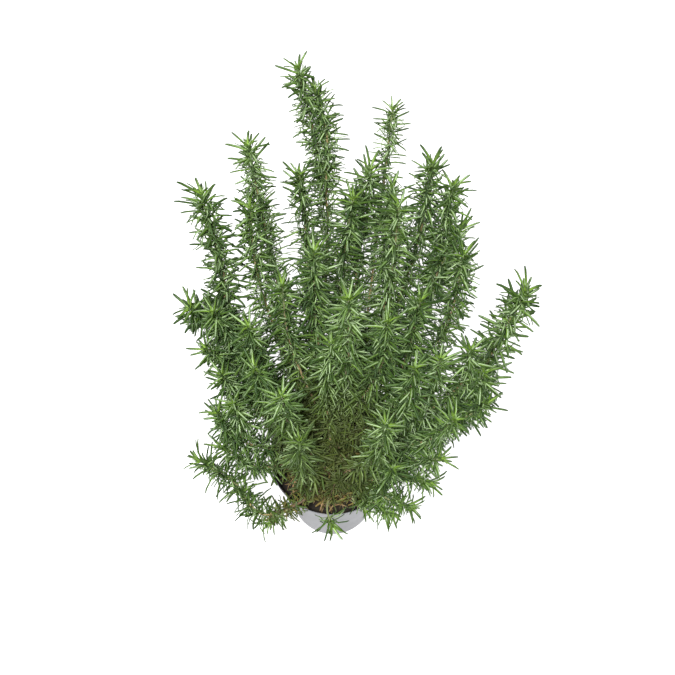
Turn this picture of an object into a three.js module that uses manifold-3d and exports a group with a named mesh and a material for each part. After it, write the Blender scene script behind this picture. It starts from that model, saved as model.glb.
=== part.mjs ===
// A rosemary plant in a tapered plastic nursery pot.
// Millimetres, +Z up. The origin is the centre of the pot's underside, on the surface it stands on.
// Six rooted cuttings stand in holes in the soil. Each is a brown woody stem whose branches carry
// leafy shoots, and each leafy shoot is a slim green core with its needles fused to it.

import * as THREE from 'three';
import { mergeVertices } from 'three/addons/utils/BufferGeometryUtils.js';
import Module from 'manifold-3d';

const wasm = await Module();
wasm.setup();

// Pot
const POT_HEIGHT = 115;
const RIM_RADIUS = 65;
const BASE_RADIUS = 44;
const WALL = 1.2;
const FLOOR = 2;
const LIP_OVERHANG = 1;
const LIP_DEPTH = 3;
const LIP_ROUNDING = 0.8;
const FOOT_CHAMFER = 1.2;
const POT_SIDES = 32;
const DRAIN_HOLES = 6;
const DRAIN_RADIUS = 4;
const DRAIN_CIRCLE = 31;
const DRAIN_SIDES = 8;
const DRILL_LENGTH = 8;

// Soil
const SOIL_LEVEL = 101;
const SOIL_EDGE_DROP = 3;
const SOIL_SHOULDER = 0.72;
const SOIL_HOLLOW_DEPTH = 1.5;
const GAP = 0.35;

// Woody stems and branches
const TRUNK_RADIUS = 3.2;
const TRUNK_SIDES = 7;
const BRANCH_RADIUS = 1.7;
const BRANCH_SIDES = 5;
const BRANCH_STEP = 28;
const ROD_STEP = 12;
const BRANCH_LEAST = 26;
const BRANCH_MOST = 0.7;
const ONE_STEP = 1000;

// Leafy shoots: a slim four-sided core, with four needles at each whorl
const CORE_WIDTH = 2.7;
const CORE_CORNER = CORE_WIDTH * Math.SQRT1_2;
const SHOOT_SPACE = 6;
const SAMPLE = 2;
const FRAME_STEPS = 60;
const WHORL_STEP = 15.5;
const WHORL_TURN = 45;
const TIP_STRETCH = 3;
const TIP_TAPER = 0.6;
const BUD_LENGTH = 9;

// Needles
const NEEDLE_LENGTH = 24;
const NEEDLE_THICKNESS = 1.8;
const NEEDLE_SPREAD = 62;
const NEEDLE_SPREAD_JITTER = 9;
const NEEDLE_LENGTH_JITTER = 0.14;
const NEEDLE_TURN_JITTER = 14;
const TIP_SPREADS = [40, 58];
const TIP_LENGTHS = [20, 23];
const LEAST_SPREAD = 20;
const ROOT_SHARE = 0.25;
const CLEARANCE = 0.6;
const OWN_CLEARANCE = 0.3;
const OWN_CORE_REACH = 10;
const SEED = 20;
const PARALLEL = 1e-9;
const POT_TESTS = 6;

// Each woody stem: foot in the soil and head, where its topmost branches leave it.
const STEMS = {
  middle: [[0, 6, 86], [0, 8, 150]],
  left: [[-24, 2, 86], [-32, 2, 135]],
  back_left: [[-14, 24, 86], [-20, 36, 145]],
  back_right: [[18, 24, 86], [24, 38, 145]],
  right: [[26, -2, 86], [34, -4, 135]],
  front: [[2, -24, 86], [2, -30, 125]],
};

// Each shoot: name, what it grows from, how far along that, the points it bends through, its tip.
const SHOOTS = [
  ['back_tall', 'back_left', 1.0, [-5, 180, 310], [-30, 225, 455]],
  ['back_tall_side', 'back_tall', 0.62, [-5, 205, 395], [-15, 220, 435]],
  ['back_inner', 'back_left', 0.85, [-25, 150, 310], [-30, 165, 380]],
  ['back_left_high', 'back_left', 1.0, [-55, 125, 265], [-75, 170, 415]],
  ['back_left_outer', 'back_left', 0.7, [-100, 80, 200], [-105, 115, 300], [-120, 150, 370]],
  ['back_left_near', 'back_left', 0.5, [-70, 105, 290], [-75, 135, 370]],
  ['back_right_high', 'back_right', 1.0, [50, 180, 360], [55, 200, 430]],
  ['back_mid_right', 'back_right', 0.9, [25, 135, 310], [35, 155, 400]],
  ['back_centre', 'middle', 1.0, [10, 110, 305], [20, 130, 390]],
  ['comb', 'back_right', 0.8, [55, 95, 305], [60, 115, 400]],
  ['comb_side', 'comb', 0.62, [50, 120, 350], [55, 135, 400]],
  ['right_high', 'back_right', 0.9, [80, 125, 315], [90, 150, 415]],
  ['right_high_outer', 'back_right', 0.7, [95, 110, 265], [110, 140, 395]],
  ['right_high_low', 'right_high_outer', 0.55, [105, 110, 315], [120, 125, 350]],
  ['right_upper', 'right', 1.0, [110, 70, 265], [120, 90, 360]],
  ['right_far', 'right', 1.0, [135, 25, 185], [155, 50, 245], [180, 75, 320]],
  ['right_mid', 'right', 0.9, [125, 25, 230], [130, 30, 290]],
  ['right_inner', 'right', 1.0, [90, 10, 225], [100, 15, 300]],
  ['right_out', 'right', 0.7, [125, 5, 190], [150, 5, 230]],
  ['right_out_side', 'right_out', 0.55, [140, 20, 215], [145, 25, 255]],
  ['front_right_high', 'middle', 0.9, [65, -5, 230], [75, -5, 320]],
  ['front_right_rosette', 'middle', 1.0, [45, 20, 270], [50, 25, 350]],
  ['front_right_low', 'front', 1.0, [45, -35, 205], [50, -35, 265]],
  ['front_tall', 'middle', 1.0, [15, 25, 270], [15, 30, 380]],
  ['middle_left', 'middle', 1.0, [-15, 60, 290], [-15, 75, 385]],
  ['left_far', 'left', 0.9, [-105, 80, 235], [-135, 75, 290]],
  ['left_far_near', 'left', 1.0, [-95, 65, 240], [-110, 60, 310]],
  ['left_low_far', 'left', 0.8, [-95, 50, 215], [-120, 45, 265]],
  ['left_mid', 'left', 1.0, [-70, 35, 245], [-75, 35, 325]],
  ['left_front', 'left', 1.0, [-60, 10, 225], [-70, 5, 300]],
  ['front_left_rosette', 'front', 1.0, [-40, -20, 230], [-45, -25, 305]],
  ['left_low', 'left', 0.7, [-90, -10, 175], [-110, -5, 230]],
  ['left_low_mid', 'left', 0.9, [-85, 20, 205], [-105, 20, 260]],
  ['left_low_side', 'left_low', 0.6, [-90, 0, 205], [-95, 0, 240]],
  ['trail_left', 'front', 0.75, [-70, -68, 125], [-100, -38, 135], [-135, -20, 150]],
  ['trail_front_left', 'front', 0.6, [-40, -60, 125], [-65, -75, 115]],
  ['left_olive', 'left', 0.5, [-75, -25, 145], [-110, -15, 170]],
  ['front_left_low', 'front', 0.9, [-30, -40, 185], [-30, -40, 240]],
  ['trail_front', 'front', 0.6, [-5, -65, 130], [0, -85, 135]],
  ['trail_front_right', 'front', 0.7, [20, -50, 125], [35, -65, 125]],
  ['trail_right_front', 'front', 0.8, [45, -60, 130], [60, -65, 120]],
  ['trail_right', 'right', 0.5, [55, -55, 135], [80, -60, 125]],
  ['right_low', 'right', 0.6, [75, -40, 155], [100, -45, 150]],
  ['right_front_low', 'right', 0.8, [80, -30, 170], [105, -40, 200]],
  ['right_front_mid', 'right', 0.9, [95, -20, 200], [115, -25, 255]],
  ['front_right_short', 'front', 0.9, [50, -40, 150], [60, -45, 190]],
  ['inner_left', 'middle', 0.9, [-40, 55, 255], [-45, 70, 340]],
  ['inner_mid', 'front', 0.9, [-5, 15, 220], [0, 20, 320]],
  ['inner_right', 'right', 1.0, [70, 35, 260], [80, 50, 345]],
];

const PARENTS = Object.fromEntries(SHOOTS.map(([name, parent]) => [name, parent]));

const potMaterial = new THREE.MeshStandardMaterial({ color: 0xbdbdc6, roughness: 0.45, metalness: 0 });
const soilMaterial = new THREE.MeshStandardMaterial({ color: 0x3b2a1b, roughness: 0.95, metalness: 0 });
const woodMaterial = new THREE.MeshStandardMaterial({ color: 0x7a553a, roughness: 0.85, metalness: 0 });
const leafMaterial = new THREE.MeshStandardMaterial({ color: 0x3e6b2b, roughness: 0.5, metalness: 0 });

const vector = (xyz) => new THREE.Vector3(...xyz);

// A small repeatable random number generator: each call gives a number from 0 to 1.
function randomFrom(seed) {
  const multiplier = 48271;
  const modulus = 2147483647;
  let state = seed;
  return () => {
    state = (state * multiplier) % modulus;
    return state / modulus;
  };
}

function toSolid(geometry) {
  const bare = geometry.clone();
  bare.deleteAttribute('normal');
  bare.deleteAttribute('uv');
  const merged = mergeVertices(bare, 1e-4);
  return new wasm.Manifold(new wasm.Mesh({
    numProp: 3,
    vertProperties: new Float32Array(merged.attributes.position.array),
    triVerts: new Uint32Array(merged.index.array),
  }));
}

// The outermost closed surface of a solid, so that a small hollow sealed by joining is filled.
function outermost(solid) {
  return solid.decompose().reduce((best, piece) => (piece.volume() > best.volume() ? piece : best));
}

function toMesh(name, solid, material) {
  const result = outermost(solid).getMesh();
  const geometry = new THREE.BufferGeometry();
  geometry.setAttribute('position', new THREE.BufferAttribute(new Float32Array(result.vertProperties), 3));
  geometry.setIndex(new THREE.BufferAttribute(new Uint32Array(result.triVerts), 1));
  geometry.computeVertexNormals();
  const mesh = new THREE.Mesh(geometry, material);
  mesh.name = name;
  return mesh;
}

// The stretch of a curve between two fractions of its length.
class Stretch extends THREE.Curve {
  constructor(curve, from, to) {
    super();
    this.curve = curve;
    this.from = from;
    this.to = to;
  }

  getPoint(t, target = new THREE.Vector3()) {
    return this.curve.getPointAt(THREE.MathUtils.lerp(this.from, this.to, t), target);
  }
}

function roundShape(radius, sides) {
  const corners = [];
  for (let i = 0; i < sides; i += 1) {
    const angle = (2 * Math.PI * i) / sides;
    corners.push(new THREE.Vector2(radius * Math.cos(angle), radius * Math.sin(angle)));
  }
  return new THREE.Shape(corners);
}

function tube(curve, radius, sides, step) {
  const steps = Math.max(1, Math.round(curve.getLength() / step));
  const options = { steps, bevelEnabled: false, extrudePath: curve };
  return toSolid(new THREE.ExtrudeGeometry(roundShape(radius, sides), options));
}

function lathe(profile) {
  const points = profile.map(([radius, height]) => new THREE.Vector2(radius, height));
  return toSolid(new THREE.LatheGeometry(points, POT_SIDES).rotateX(Math.PI / 2));
}

// Inner radius of the pot's wall at a height.
function insideRadius(height) {
  const top = RIM_RADIUS - LIP_OVERHANG - WALL;
  const bottom = BASE_RADIUS - WALL;
  return THREE.MathUtils.lerp(bottom, top, height / POT_HEIGHT);
}

function makePot() {
  const wallTop = POT_HEIGHT - LIP_DEPTH;
  let pot = lathe([
    [0, 0],
    [BASE_RADIUS - FOOT_CHAMFER, 0],
    [BASE_RADIUS, FOOT_CHAMFER],
    [insideRadius(wallTop) + WALL, wallTop],
    [RIM_RADIUS, wallTop],
    [RIM_RADIUS, POT_HEIGHT - LIP_ROUNDING],
    [RIM_RADIUS - LIP_ROUNDING, POT_HEIGHT],
    [insideRadius(POT_HEIGHT), POT_HEIGHT],
    [insideRadius(FLOOR), FLOOR],
    [0, FLOOR],
  ]);
  for (let i = 0; i < DRAIN_HOLES; i += 1) {
    const angle = (2 * Math.PI * i) / DRAIN_HOLES;
    const drill = new THREE.CylinderGeometry(DRAIN_RADIUS, DRAIN_RADIUS, DRILL_LENGTH, DRAIN_SIDES);
    drill.rotateX(Math.PI / 2);
    drill.translate(DRAIN_CIRCLE * Math.cos(angle), DRAIN_CIRCLE * Math.sin(angle), 0);
    pot = pot.subtract(toSolid(drill));
  }
  return pot;
}

function makeSoil(trunks) {
  const low = FLOOR + GAP;
  const edge = SOIL_LEVEL - SOIL_EDGE_DROP;
  let soil = lathe([
    [0, low],
    [insideRadius(low) - GAP, low],
    [insideRadius(edge) - GAP, edge],
    [insideRadius(edge) * SOIL_SHOULDER, SOIL_LEVEL],
    [0, SOIL_LEVEL - SOIL_HOLLOW_DEPTH],
  ]);
  for (const trunk of Object.values(trunks)) {
    const deeper = new THREE.LineCurve3(
      trunk.getPoint(-GAP / trunk.getLength()),
      trunk.getPoint(1),
    );
    soil = soil.subtract(tube(deeper, TRUNK_RADIUS + GAP, TRUNK_SIDES, ONE_STEP));
  }
  return soil;
}

// The axes of all stems and shoots, by name. A shoot's axis is a smooth curve from its foot, on what it
// grows from, through its bends to its tip.
function makeAxes() {
  const axes = {};
  const trunks = {};
  for (const [name, [foot, head]] of Object.entries(STEMS)) {
    trunks[name] = new THREE.LineCurve3(vector(foot), vector(head));
    axes[name] = trunks[name];
  }
  for (const [name, parent, along, ...points] of SHOOTS) {
    const foot = axes[parent].getPointAt(along);
    axes[name] = new THREE.CatmullRomCurve3([foot, ...points.map(vector)], false, 'centripetal');
  }
  return { axes, trunks };
}

// Where along its length a shoot turns from a bare woody branch into a leafy one: the first place from
// which every other axis stays more than SHOOT_SPACE away, but no later than BRANCH_MOST.
function leafStarts(axes) {
  const samples = {};
  for (const [name, curve] of Object.entries(axes)) {
    samples[name] = curve.getSpacedPoints(Math.ceil(curve.getLength() / SAMPLE));
  }
  const starts = {};
  for (const [name, parent] of SHOOTS) {
    if (!(parent in STEMS)) continue;
    const others = Object.keys(axes).filter((other) => other !== name && PARENTS[other] !== name);
    const own = samples[name];
    const length = axes[name].getLength();
    let start = BRANCH_LEAST / length;
    own.forEach((point, i) => {
      const fraction = i / (own.length - 1);
      if (fraction < start || fraction > BRANCH_MOST) return;
      const near = others.some((other) => (
        samples[other].some((there) => there.distanceTo(point) < SHOOT_SPACE)
      ));
      if (near) start = fraction + SAMPLE / length;
    });
    starts[name] = start;
  }
  return starts;
}

// Closest distance between two tapering rods, less their radii there.
function rodGap(a, b) {
  const d1 = new THREE.Vector3().subVectors(a.end, a.start);
  const d2 = new THREE.Vector3().subVectors(b.end, b.start);
  const r = new THREE.Vector3().subVectors(a.start, b.start);
  const aa = d1.dot(d1);
  const ee = d2.dot(d2);
  const f = d2.dot(r);
  const c = d1.dot(r);
  const bb = d1.dot(d2);
  const denominator = aa * ee - bb * bb;
  let s = denominator > PARALLEL ? THREE.MathUtils.clamp((bb * f - c * ee) / denominator, 0, 1) : 0;
  let t = (bb * s + f) / ee;
  if (t < 0) {
    t = 0;
    s = THREE.MathUtils.clamp(-c / aa, 0, 1);
  } else if (t > 1) {
    t = 1;
    s = THREE.MathUtils.clamp((bb - c) / aa, 0, 1);
  }
  const p = a.start.clone().addScaledVector(d1, s);
  const q = b.start.clone().addScaledVector(d2, t);
  const radii = THREE.MathUtils.lerp(a.startRadius, a.endRadius, s)
    + THREE.MathUtils.lerp(b.startRadius, b.endRadius, t);
  return p.distanceTo(q) - radii;
}

// The stems, branches and cores as short rods, which needles keep clear of.
function axisRods(axes, starts) {
  const rods = [];
  for (const [name, curve] of Object.entries(axes)) {
    const isStem = name in STEMS;
    const points = curve.getSpacedPoints(Math.ceil(curve.getLength() / ROD_STEP));
    for (let i = 0; i + 1 < points.length; i += 1) {
      const leafy = !isStem && (i + 1) / (points.length - 1) > (starts[name] ?? 0);
      const branch = leafy ? CORE_CORNER : BRANCH_RADIUS;
      const radius = isStem ? TRUNK_RADIUS : branch;
      rods.push({
        owner: leafy ? nodeOf(name) : `wood_of_${name}`,
        isNeedle: false,
        start: points[i],
        end: points[i + 1],
        startRadius: radius,
        endRadius: radius,
      });
    }
  }
  return rods;
}

// A side shoot is part of the leafy shoot it grows from.
function nodeOf(name) {
  return PARENTS[name] in STEMS ? name : nodeOf(PARENTS[name]);
}

function clearOfPot(rod) {
  for (let i = 1; i <= POT_TESTS; i += 1) {
    const point = rod.start.clone().lerp(rod.end, i / POT_TESTS);
    const radius = Math.hypot(point.x, point.y);
    const margin = CORE_WIDTH;
    if (point.z < SOIL_LEVEL + margin && radius < insideRadius(point.z) + WALL) return false;
    const overRim = radius > insideRadius(POT_HEIGHT) - margin && radius < RIM_RADIUS + margin;
    if (point.z < POT_HEIGHT + margin && overRim) return false;
  }
  return true;
}

// Ways in which a needle may be bent clear of its neighbours: turned round the shoot, laid closer to it
// or opened away from it, in degrees, and shortened.
const BENDS = [
  [0, 0, 1], [20, 0, 1], [-20, 0, 1], [0, -18, 1], [0, 16, 1], [30, -10, 1], [-30, -10, 1],
  [20, -24, 0.9], [-20, -24, 0.9], [20, 18, 0.85], [-20, 18, 0.85], [0, -28, 0.8], [35, -20, 0.75],
  [-35, -20, 0.75],
];

// Whether a needle would touch a rod. One of its own shoot's needles counts past its root only, and a
// stretch of its own core only where that is well away from the needle's root.
function touches(rod, other) {
  if (other.owner !== rod.owner) return rodGap(rod, other) < CLEARANCE;
  if (other.isNeedle) return rodGap(rod.outer, other.outer) < OWN_CLEARANCE;
  const nearest = Math.min(other.start.distanceTo(rod.start), other.end.distanceTo(rod.start));
  return nearest > OWN_CORE_REACH && rodGap(rod, other) < CLEARANCE;
}

function needleRod(owner, start, end) {
  const half = CORE_WIDTH / 2;
  const pastRoot = start.clone().lerp(end, ROOT_SHARE);
  const outer = { start: pastRoot, end, startRadius: (1 - ROOT_SHARE) * half, endRadius: 0 };
  return { owner, isNeedle: true, start, end, startRadius: half, endRadius: 0, outer };
}

// The plan of one leafy shoot: the rings of corners of its square core from foot to tip, and for each
// band between two rings the tips of the needles that its four sides are drawn out into, if any.
function planShoot(curve, from, owner, rods, random) {
  const length = curve.getLength();
  const frames = curve.computeFrenetFrames(FRAME_STEPS, false);
  const direction = (along, angle, normal) => (
    normal.clone().applyAxisAngle(along, THREE.MathUtils.degToRad(angle))
  );
  const frameAt = (at) => {
    const along = curve.getTangentAt(at);
    const normal = frames.normals[Math.round(at * FRAME_STEPS)].clone();
    normal.addScaledVector(along, -normal.dot(along)).normalize();
    return { point: curve.getPointAt(at), along, normal };
  };
  const ring = (at, turn, scale) => {
    const { point, along, normal } = frameAt(at);
    return [-45, 45, 135, 225].map((corner) => (
      point.clone().addScaledVector(direction(along, turn + corner, normal), CORE_CORNER * scale)
    ));
  };
  const bare = [null, null, null, null];
  const rings = [ring(from, 0, 1)];
  const bands = [];
  const last = 1 - TIP_STRETCH / length;
  const count = Math.max(1, Math.round(((last - from) * length) / WHORL_STEP));
  const half = NEEDLE_THICKNESS / 2 / length;
  for (let i = 1; i <= count; i += 1) {
    const at = THREE.MathUtils.lerp(from, last, i / count);
    const turn = WHORL_TURN * i;
    const { point, along, normal } = frameAt(at);
    const tips = [0, 90, 180, 270].map((side) => {
      const spreadHere = TIP_SPREADS[count - i] ?? NEEDLE_SPREAD;
      const lengthHere = TIP_LENGTHS[count - i] ?? NEEDLE_LENGTH;
      const aim = turn + side + NEEDLE_TURN_JITTER * (2 * random() - 1);
      const spread = spreadHere + NEEDLE_SPREAD_JITTER * (2 * random() - 1);
      const size = lengthHere * (1 + NEEDLE_LENGTH_JITTER * (2 * random() - 1));
      for (const [turnBy, openBy, scaleBy] of BENDS) {
        const opening = THREE.MathUtils.degToRad(Math.max(spread + openBy, LEAST_SPREAD));
        const reach = direction(along, aim + turnBy, normal).multiplyScalar(Math.sin(opening));
        reach.addScaledVector(along, Math.cos(opening)).multiplyScalar(size * scaleBy);
        const rod = needleRod(owner, point, point.clone().add(reach));
        if (clearOfPot(rod) && !rods.some((other) => touches(rod, other))) {
          rods.push(rod);
          return rod.end;
        }
      }
      return null;
    });
    rings.push(ring(at - half, turn, 1), ring(at + half, turn, 1));
    bands.push(bare, tips);
  }
  rings.push(ring(1, WHORL_TURN * count, TIP_TAPER));
  bands.push(bare);
  const { point, along } = frameAt(1);
  return { rings, bands, bud: point.addScaledVector(along, BUD_LENGTH) };
}

// The closed surface of a leafy shoot, all of one body. A side of a whorl's narrow band is drawn out into
// a four-sided spike from its own corners to the needle's tip, and every other side is two triangles.
function shootSolid({ rings, bands, bud }) {
  const positions = rings.flat().flatMap((corner) => corner.toArray());
  const faces = [[0, 3, 2], [0, 2, 1]];
  const spike = (corners, tip) => {
    const apex = positions.length / 3;
    positions.push(...tip.toArray());
    corners.forEach((corner, i) => faces.push([corner, corners[(i + 1) % 4], apex]));
  };
  bands.forEach((tips, band) => {
    tips.forEach((tip, side) => {
      const low = 4 * band;
      const next = (side + 1) % 4;
      const corners = [low + side, low + next, low + 4 + next, low + 4 + side];
      if (tip) {
        spike(corners, tip);
      } else {
        faces.push([corners[0], corners[1], corners[2]], [corners[0], corners[2], corners[3]]);
      }
    });
  });
  const top = 4 * (rings.length - 1);
  spike([top, top + 1, top + 2, top + 3], bud);
  const geometry = new THREE.BufferGeometry();
  geometry.setAttribute('position', new THREE.Float32BufferAttribute(positions, 3));
  geometry.setIndex(faces.flat());
  return toSolid(geometry);
}

const { axes, trunks } = makeAxes();
const starts = leafStarts(axes);
const rods = axisRods(axes, starts);
const random = randomFrom(SEED);

const plant = new THREE.Group();
plant.add(toMesh('pot', makePot(), potMaterial));
plant.add(toMesh('soil', makeSoil(trunks), soilMaterial));

for (const [name, trunk] of Object.entries(trunks)) {
  let wood = tube(trunk, TRUNK_RADIUS, TRUNK_SIDES, ONE_STEP);
  for (const [shoot, parent] of SHOOTS) {
    if (parent !== name) continue;
    const bare = new Stretch(axes[shoot], 0, starts[shoot]);
    wood = wood.add(tube(bare, BRANCH_RADIUS, BRANCH_SIDES, BRANCH_STEP));
  }
  plant.add(toMesh(`woody_stem_${name}`, wood, woodMaterial));
}

const leafy = {};
for (const [name, parent] of SHOOTS) {
  const curve = axes[name];
  const owner = nodeOf(name);
  const gap = GAP / curve.getLength();
  const from = parent in STEMS ? starts[name] + gap : 0;
  const shoot = shootSolid(planShoot(curve, from, owner, rods, random));
  leafy[owner] = leafy[owner] ? leafy[owner].add(shoot) : shoot;
}
for (const [owner, solid] of Object.entries(leafy)) {
  plant.add(toMesh(`leafy_shoot_${owner}`, solid, leafMaterial));
}

export default plant;
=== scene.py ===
"""A rosemary plant in a plastic nursery pot, dressed round its measured frame.

Metres, +Z up. The origin is the centre of the pot's underside, on the surface that it stands on.
Every stem and shoot follows the same smooth line as its plain solid in the frame, and gets its bark or
green skin, its needles and the old needles lower down. The soil gets its crumbs, fibres and moss.
"""

import bmesh
import bpy
import numpy as np
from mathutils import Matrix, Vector


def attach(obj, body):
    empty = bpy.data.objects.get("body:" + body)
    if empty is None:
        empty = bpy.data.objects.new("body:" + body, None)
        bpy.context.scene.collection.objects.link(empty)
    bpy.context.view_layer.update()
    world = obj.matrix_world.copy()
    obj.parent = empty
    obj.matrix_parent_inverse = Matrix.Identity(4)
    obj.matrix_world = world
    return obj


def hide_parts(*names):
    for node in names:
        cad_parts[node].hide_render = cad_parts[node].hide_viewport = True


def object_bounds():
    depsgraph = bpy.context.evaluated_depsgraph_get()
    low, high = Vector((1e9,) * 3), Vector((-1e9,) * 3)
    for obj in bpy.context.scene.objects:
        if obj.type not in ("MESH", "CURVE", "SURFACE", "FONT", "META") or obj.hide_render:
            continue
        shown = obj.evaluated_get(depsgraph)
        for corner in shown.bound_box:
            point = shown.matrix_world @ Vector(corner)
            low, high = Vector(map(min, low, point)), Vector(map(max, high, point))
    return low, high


bl_info = {
    "name": "Potted rosemary",
    "version": (1, 0, 0),
    "blender": (4, 5, 0),
    "location": "3D View > Sidebar > Rosemary",
    "description": "Makes a rosemary plant, its soil and its nursery pot",
    "category": "Add Mesh",
}

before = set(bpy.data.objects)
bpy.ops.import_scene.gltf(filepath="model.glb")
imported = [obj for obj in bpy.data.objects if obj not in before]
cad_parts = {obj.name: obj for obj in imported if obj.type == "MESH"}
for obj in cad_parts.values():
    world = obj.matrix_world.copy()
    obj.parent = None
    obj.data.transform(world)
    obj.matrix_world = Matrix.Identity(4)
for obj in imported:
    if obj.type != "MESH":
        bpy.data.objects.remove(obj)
CAD_BOX = np.array(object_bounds())

MM = 0.001
TURN = 2 * np.pi

# Pot, in metres
POT_HEIGHT = 115 * MM
RIM_RADIUS = 65 * MM
BASE_RADIUS = 44 * MM
WALL = 1.2 * MM
FLOOR = 2 * MM
LIP_OVERHANG = 1 * MM
LIP_FLARE = 2 * MM
LIP_STRAIGHT = 2 * MM
FOOT_ROUNDING = 1.2 * MM
EDGE_ROUNDING = 0.35 * MM
EDGE_SEGMENTS = 2
EDGE_ANGLE = np.radians(50)
DRAIN_HOLES = 6
DRAIN_RADIUS = 4 * MM
DRAIN_CIRCLE = 31 * MM
DRAIN_BAND = 7 * MM
HOLE_RINGS = np.array([0, 0.2, 0.5, 1])
ARC_STEPS = 16
SIDE_STEPS = 4
CURVE_STEPS = 5
DISC_RINGS = 6
WALL_RINGS = 14

# Soil
SOIL_LEVEL = 101 * MM
SOIL_EDGE_DROP = 3 * MM
SOIL_SHOULDER = 0.72
SOIL_SHOULDER_DROP = 0.6 * MM
SOIL_HOLLOW = 1.5 * MM
SOIL_GAP = 0.35 * MM
SOIL_SHRINK = 9 * MM
SOIL_SHRINK_FROM = 0.86
SOIL_SIDES = 180
SOIL_SIDE_RINGS = 10
SOIL_TOP_RINGS = 70
SOIL_LAST_RING = 0.01
# Painted shade of the pot's wall: the soil darkens to nearly black from the first distance from the middle
# to the second, and stays so out to the wall
WALL_SHADE_FROM = 45 * MM
WALL_SHADE_FULL = 51 * MM

# Size, height and seed of the lumps in the soil, which flatten out within a share of its radius from the
# wall. LUMP_TABLE of them repeat.
SOIL_LUMPS = ((9 * MM, 0.9 * MM, 1), (3.5 * MM, 0.7 * MM, 2), (1.4 * MM, 0.4 * MM, 3))
LUMP_LEAST = 0.2
LUMP_FADE = 0.125
LUMP_TABLE = 64
LUMP_SHIFT = 1000

# Litter, out to a share of the soil's radius
LITTER_REACH = 0.78
CRUMB_RADII = (0.5 * MM, 2.2 * MM)
CRUMB_SLOPES = np.radians([-45, 0, 45])
CRUMB_SIDES = 5
CRUMB_SHARES = (0.66, 1.33)
CRUMB_FLATNESS = 0.75
CRUMB_RISE = 0.3
PERLITE_RADII = (0.6 * MM, 1.5 * MM)
PERLITE_GRAINS = 40

# Loose fibres: shortest and longest, thinnest and thickest, and greatest height over the soil
FINE_FIBRES = ((8 * MM, 26 * MM), (0.15 * MM, 0.45 * MM), 3 * MM)
THICK_FIBRES = ((20 * MM, 38 * MM), (0.5 * MM, 0.9 * MM), 5 * MM)
THICK_COUNT = 24
STRAND_PLACES = np.linspace(0.04, 0.96, 9)
STRAND_SIDES = 5
STRAND_BOW = 0.3
STRAND_WAVE = 0.08
STRAND_END = 0.45

# Moss threads and fallen needles, and their tilt from upright and their curl in radians
MOSS_SHIFT = -7 * MM
MOSS_PATCH = 14 * MM
MOSS_SEED = 5
MOSS_FROM = -0.1
MOSS_FRAY = 0.4
MOSS_WIDTH = 0.5 * MM
MOSS_TILTS = (0.1, 1.1)
MOSS_LENGTHS = (4 * MM, 12 * MM)
MOSS_CURLS = (0.3, 1.8)
MOSS_YOUTH = 0.5
FALLEN_NEEDLES = 170
FALLEN_REACH = 0.7
FALLEN_RISE = 1.2 * MM
FALLEN_TILTS = (1.25, 1.6)
FALLEN_LENGTHS = np.array([0.5, 0.9])
FALLEN_CURLS = (0.05, 0.5)
FALLEN_DRYNESS = (0.4, 1.0)
BLADE_BREADTHS = (0.8, 1.2)

# Fibres that show at the front, in mm: both ends on the soil, radius, sideways bow, height over the soil
LAID_FIBRES = [
    ((-13, -54), (-1, -36), 0.9, 1.5, 2.0),
    ((-4, -56), (20, -40), 1.0, 3.0, 2.5),
    ((-1, -49), (17, -51), 0.5, 1.0, 1.5),
    ((-58, -18), (-46, -19), 0.5, 0.5, 1.5),
    ((-29, -40), (-22, -26), 0.5, 1.5, 2.0),
    ((-24, -44), (-15, -31), 0.4, -1.0, 2.5),
    ((-20, -47), (-11, -39), 0.4, 1.0, 2.0),
    ((-17, -28), (-11, -41), 0.4, -1.0, 2.0),
    ((19, -34), (29, -44), 0.5, 1.5, 2.5),
]

# Stems: radius at the foot and at the tip
TRUNK_RADII = (3.2 * MM, 2.56 * MM)
BRANCH_RADII = (1.75 * MM, 1.4 * MM)
SHOOT_RADII = (1.3 * MM, 0.7 * MM)
TWIG_RADII = (0.8 * MM, 0.4 * MM)
LINE_STEP = 0.5 * MM
BRANCH_LEAST = 26 * MM
BRANCH_MOST = 0.7
SHOOT_SPACE = 6 * MM
SAMPLE = 2 * MM

# Sides and ring spacing of their skins
TRUNK_GRID = (20, 1 * MM)
BRANCH_GRID = (10, 1.2 * MM)
SHOOT_GRID = (8, 1.6 * MM)
TWIG_GRID = (5, 4 * MM)

# Relief of their skins
TRUNK_FURROWS = (0.16 * MM, 0.10 * MM)
TRUNK_WANDER = 9 * MM
KNOB_HEIGHT = 0.22 * MM
KNOB_STEP = 1.9 * MM
BRANCH_FURROW = 0.07 * MM
BRANCH_WANDER = 7 * MM
SCAR_HEIGHT = 0.13 * MM
SHOOT_RIDGE = 0.05 * MM
JOINT_HEIGHT = 0.10 * MM
JOINT_STEP = 5 * MM

# Each woody stem in mm: its foot in the soil and its head, where the topmost branches leave it.
STEMS = {
    "middle": ([0, 6, 86], [0, 8, 150]),
    "left": ([-24, 2, 86], [-32, 2, 135]),
    "back_left": ([-14, 24, 86], [-20, 36, 145]),
    "back_right": ([18, 24, 86], [24, 38, 145]),
    "right": ([26, -2, 86], [34, -4, 135]),
    "front": ([2, -24, 86], [2, -30, 125]),
}

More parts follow.
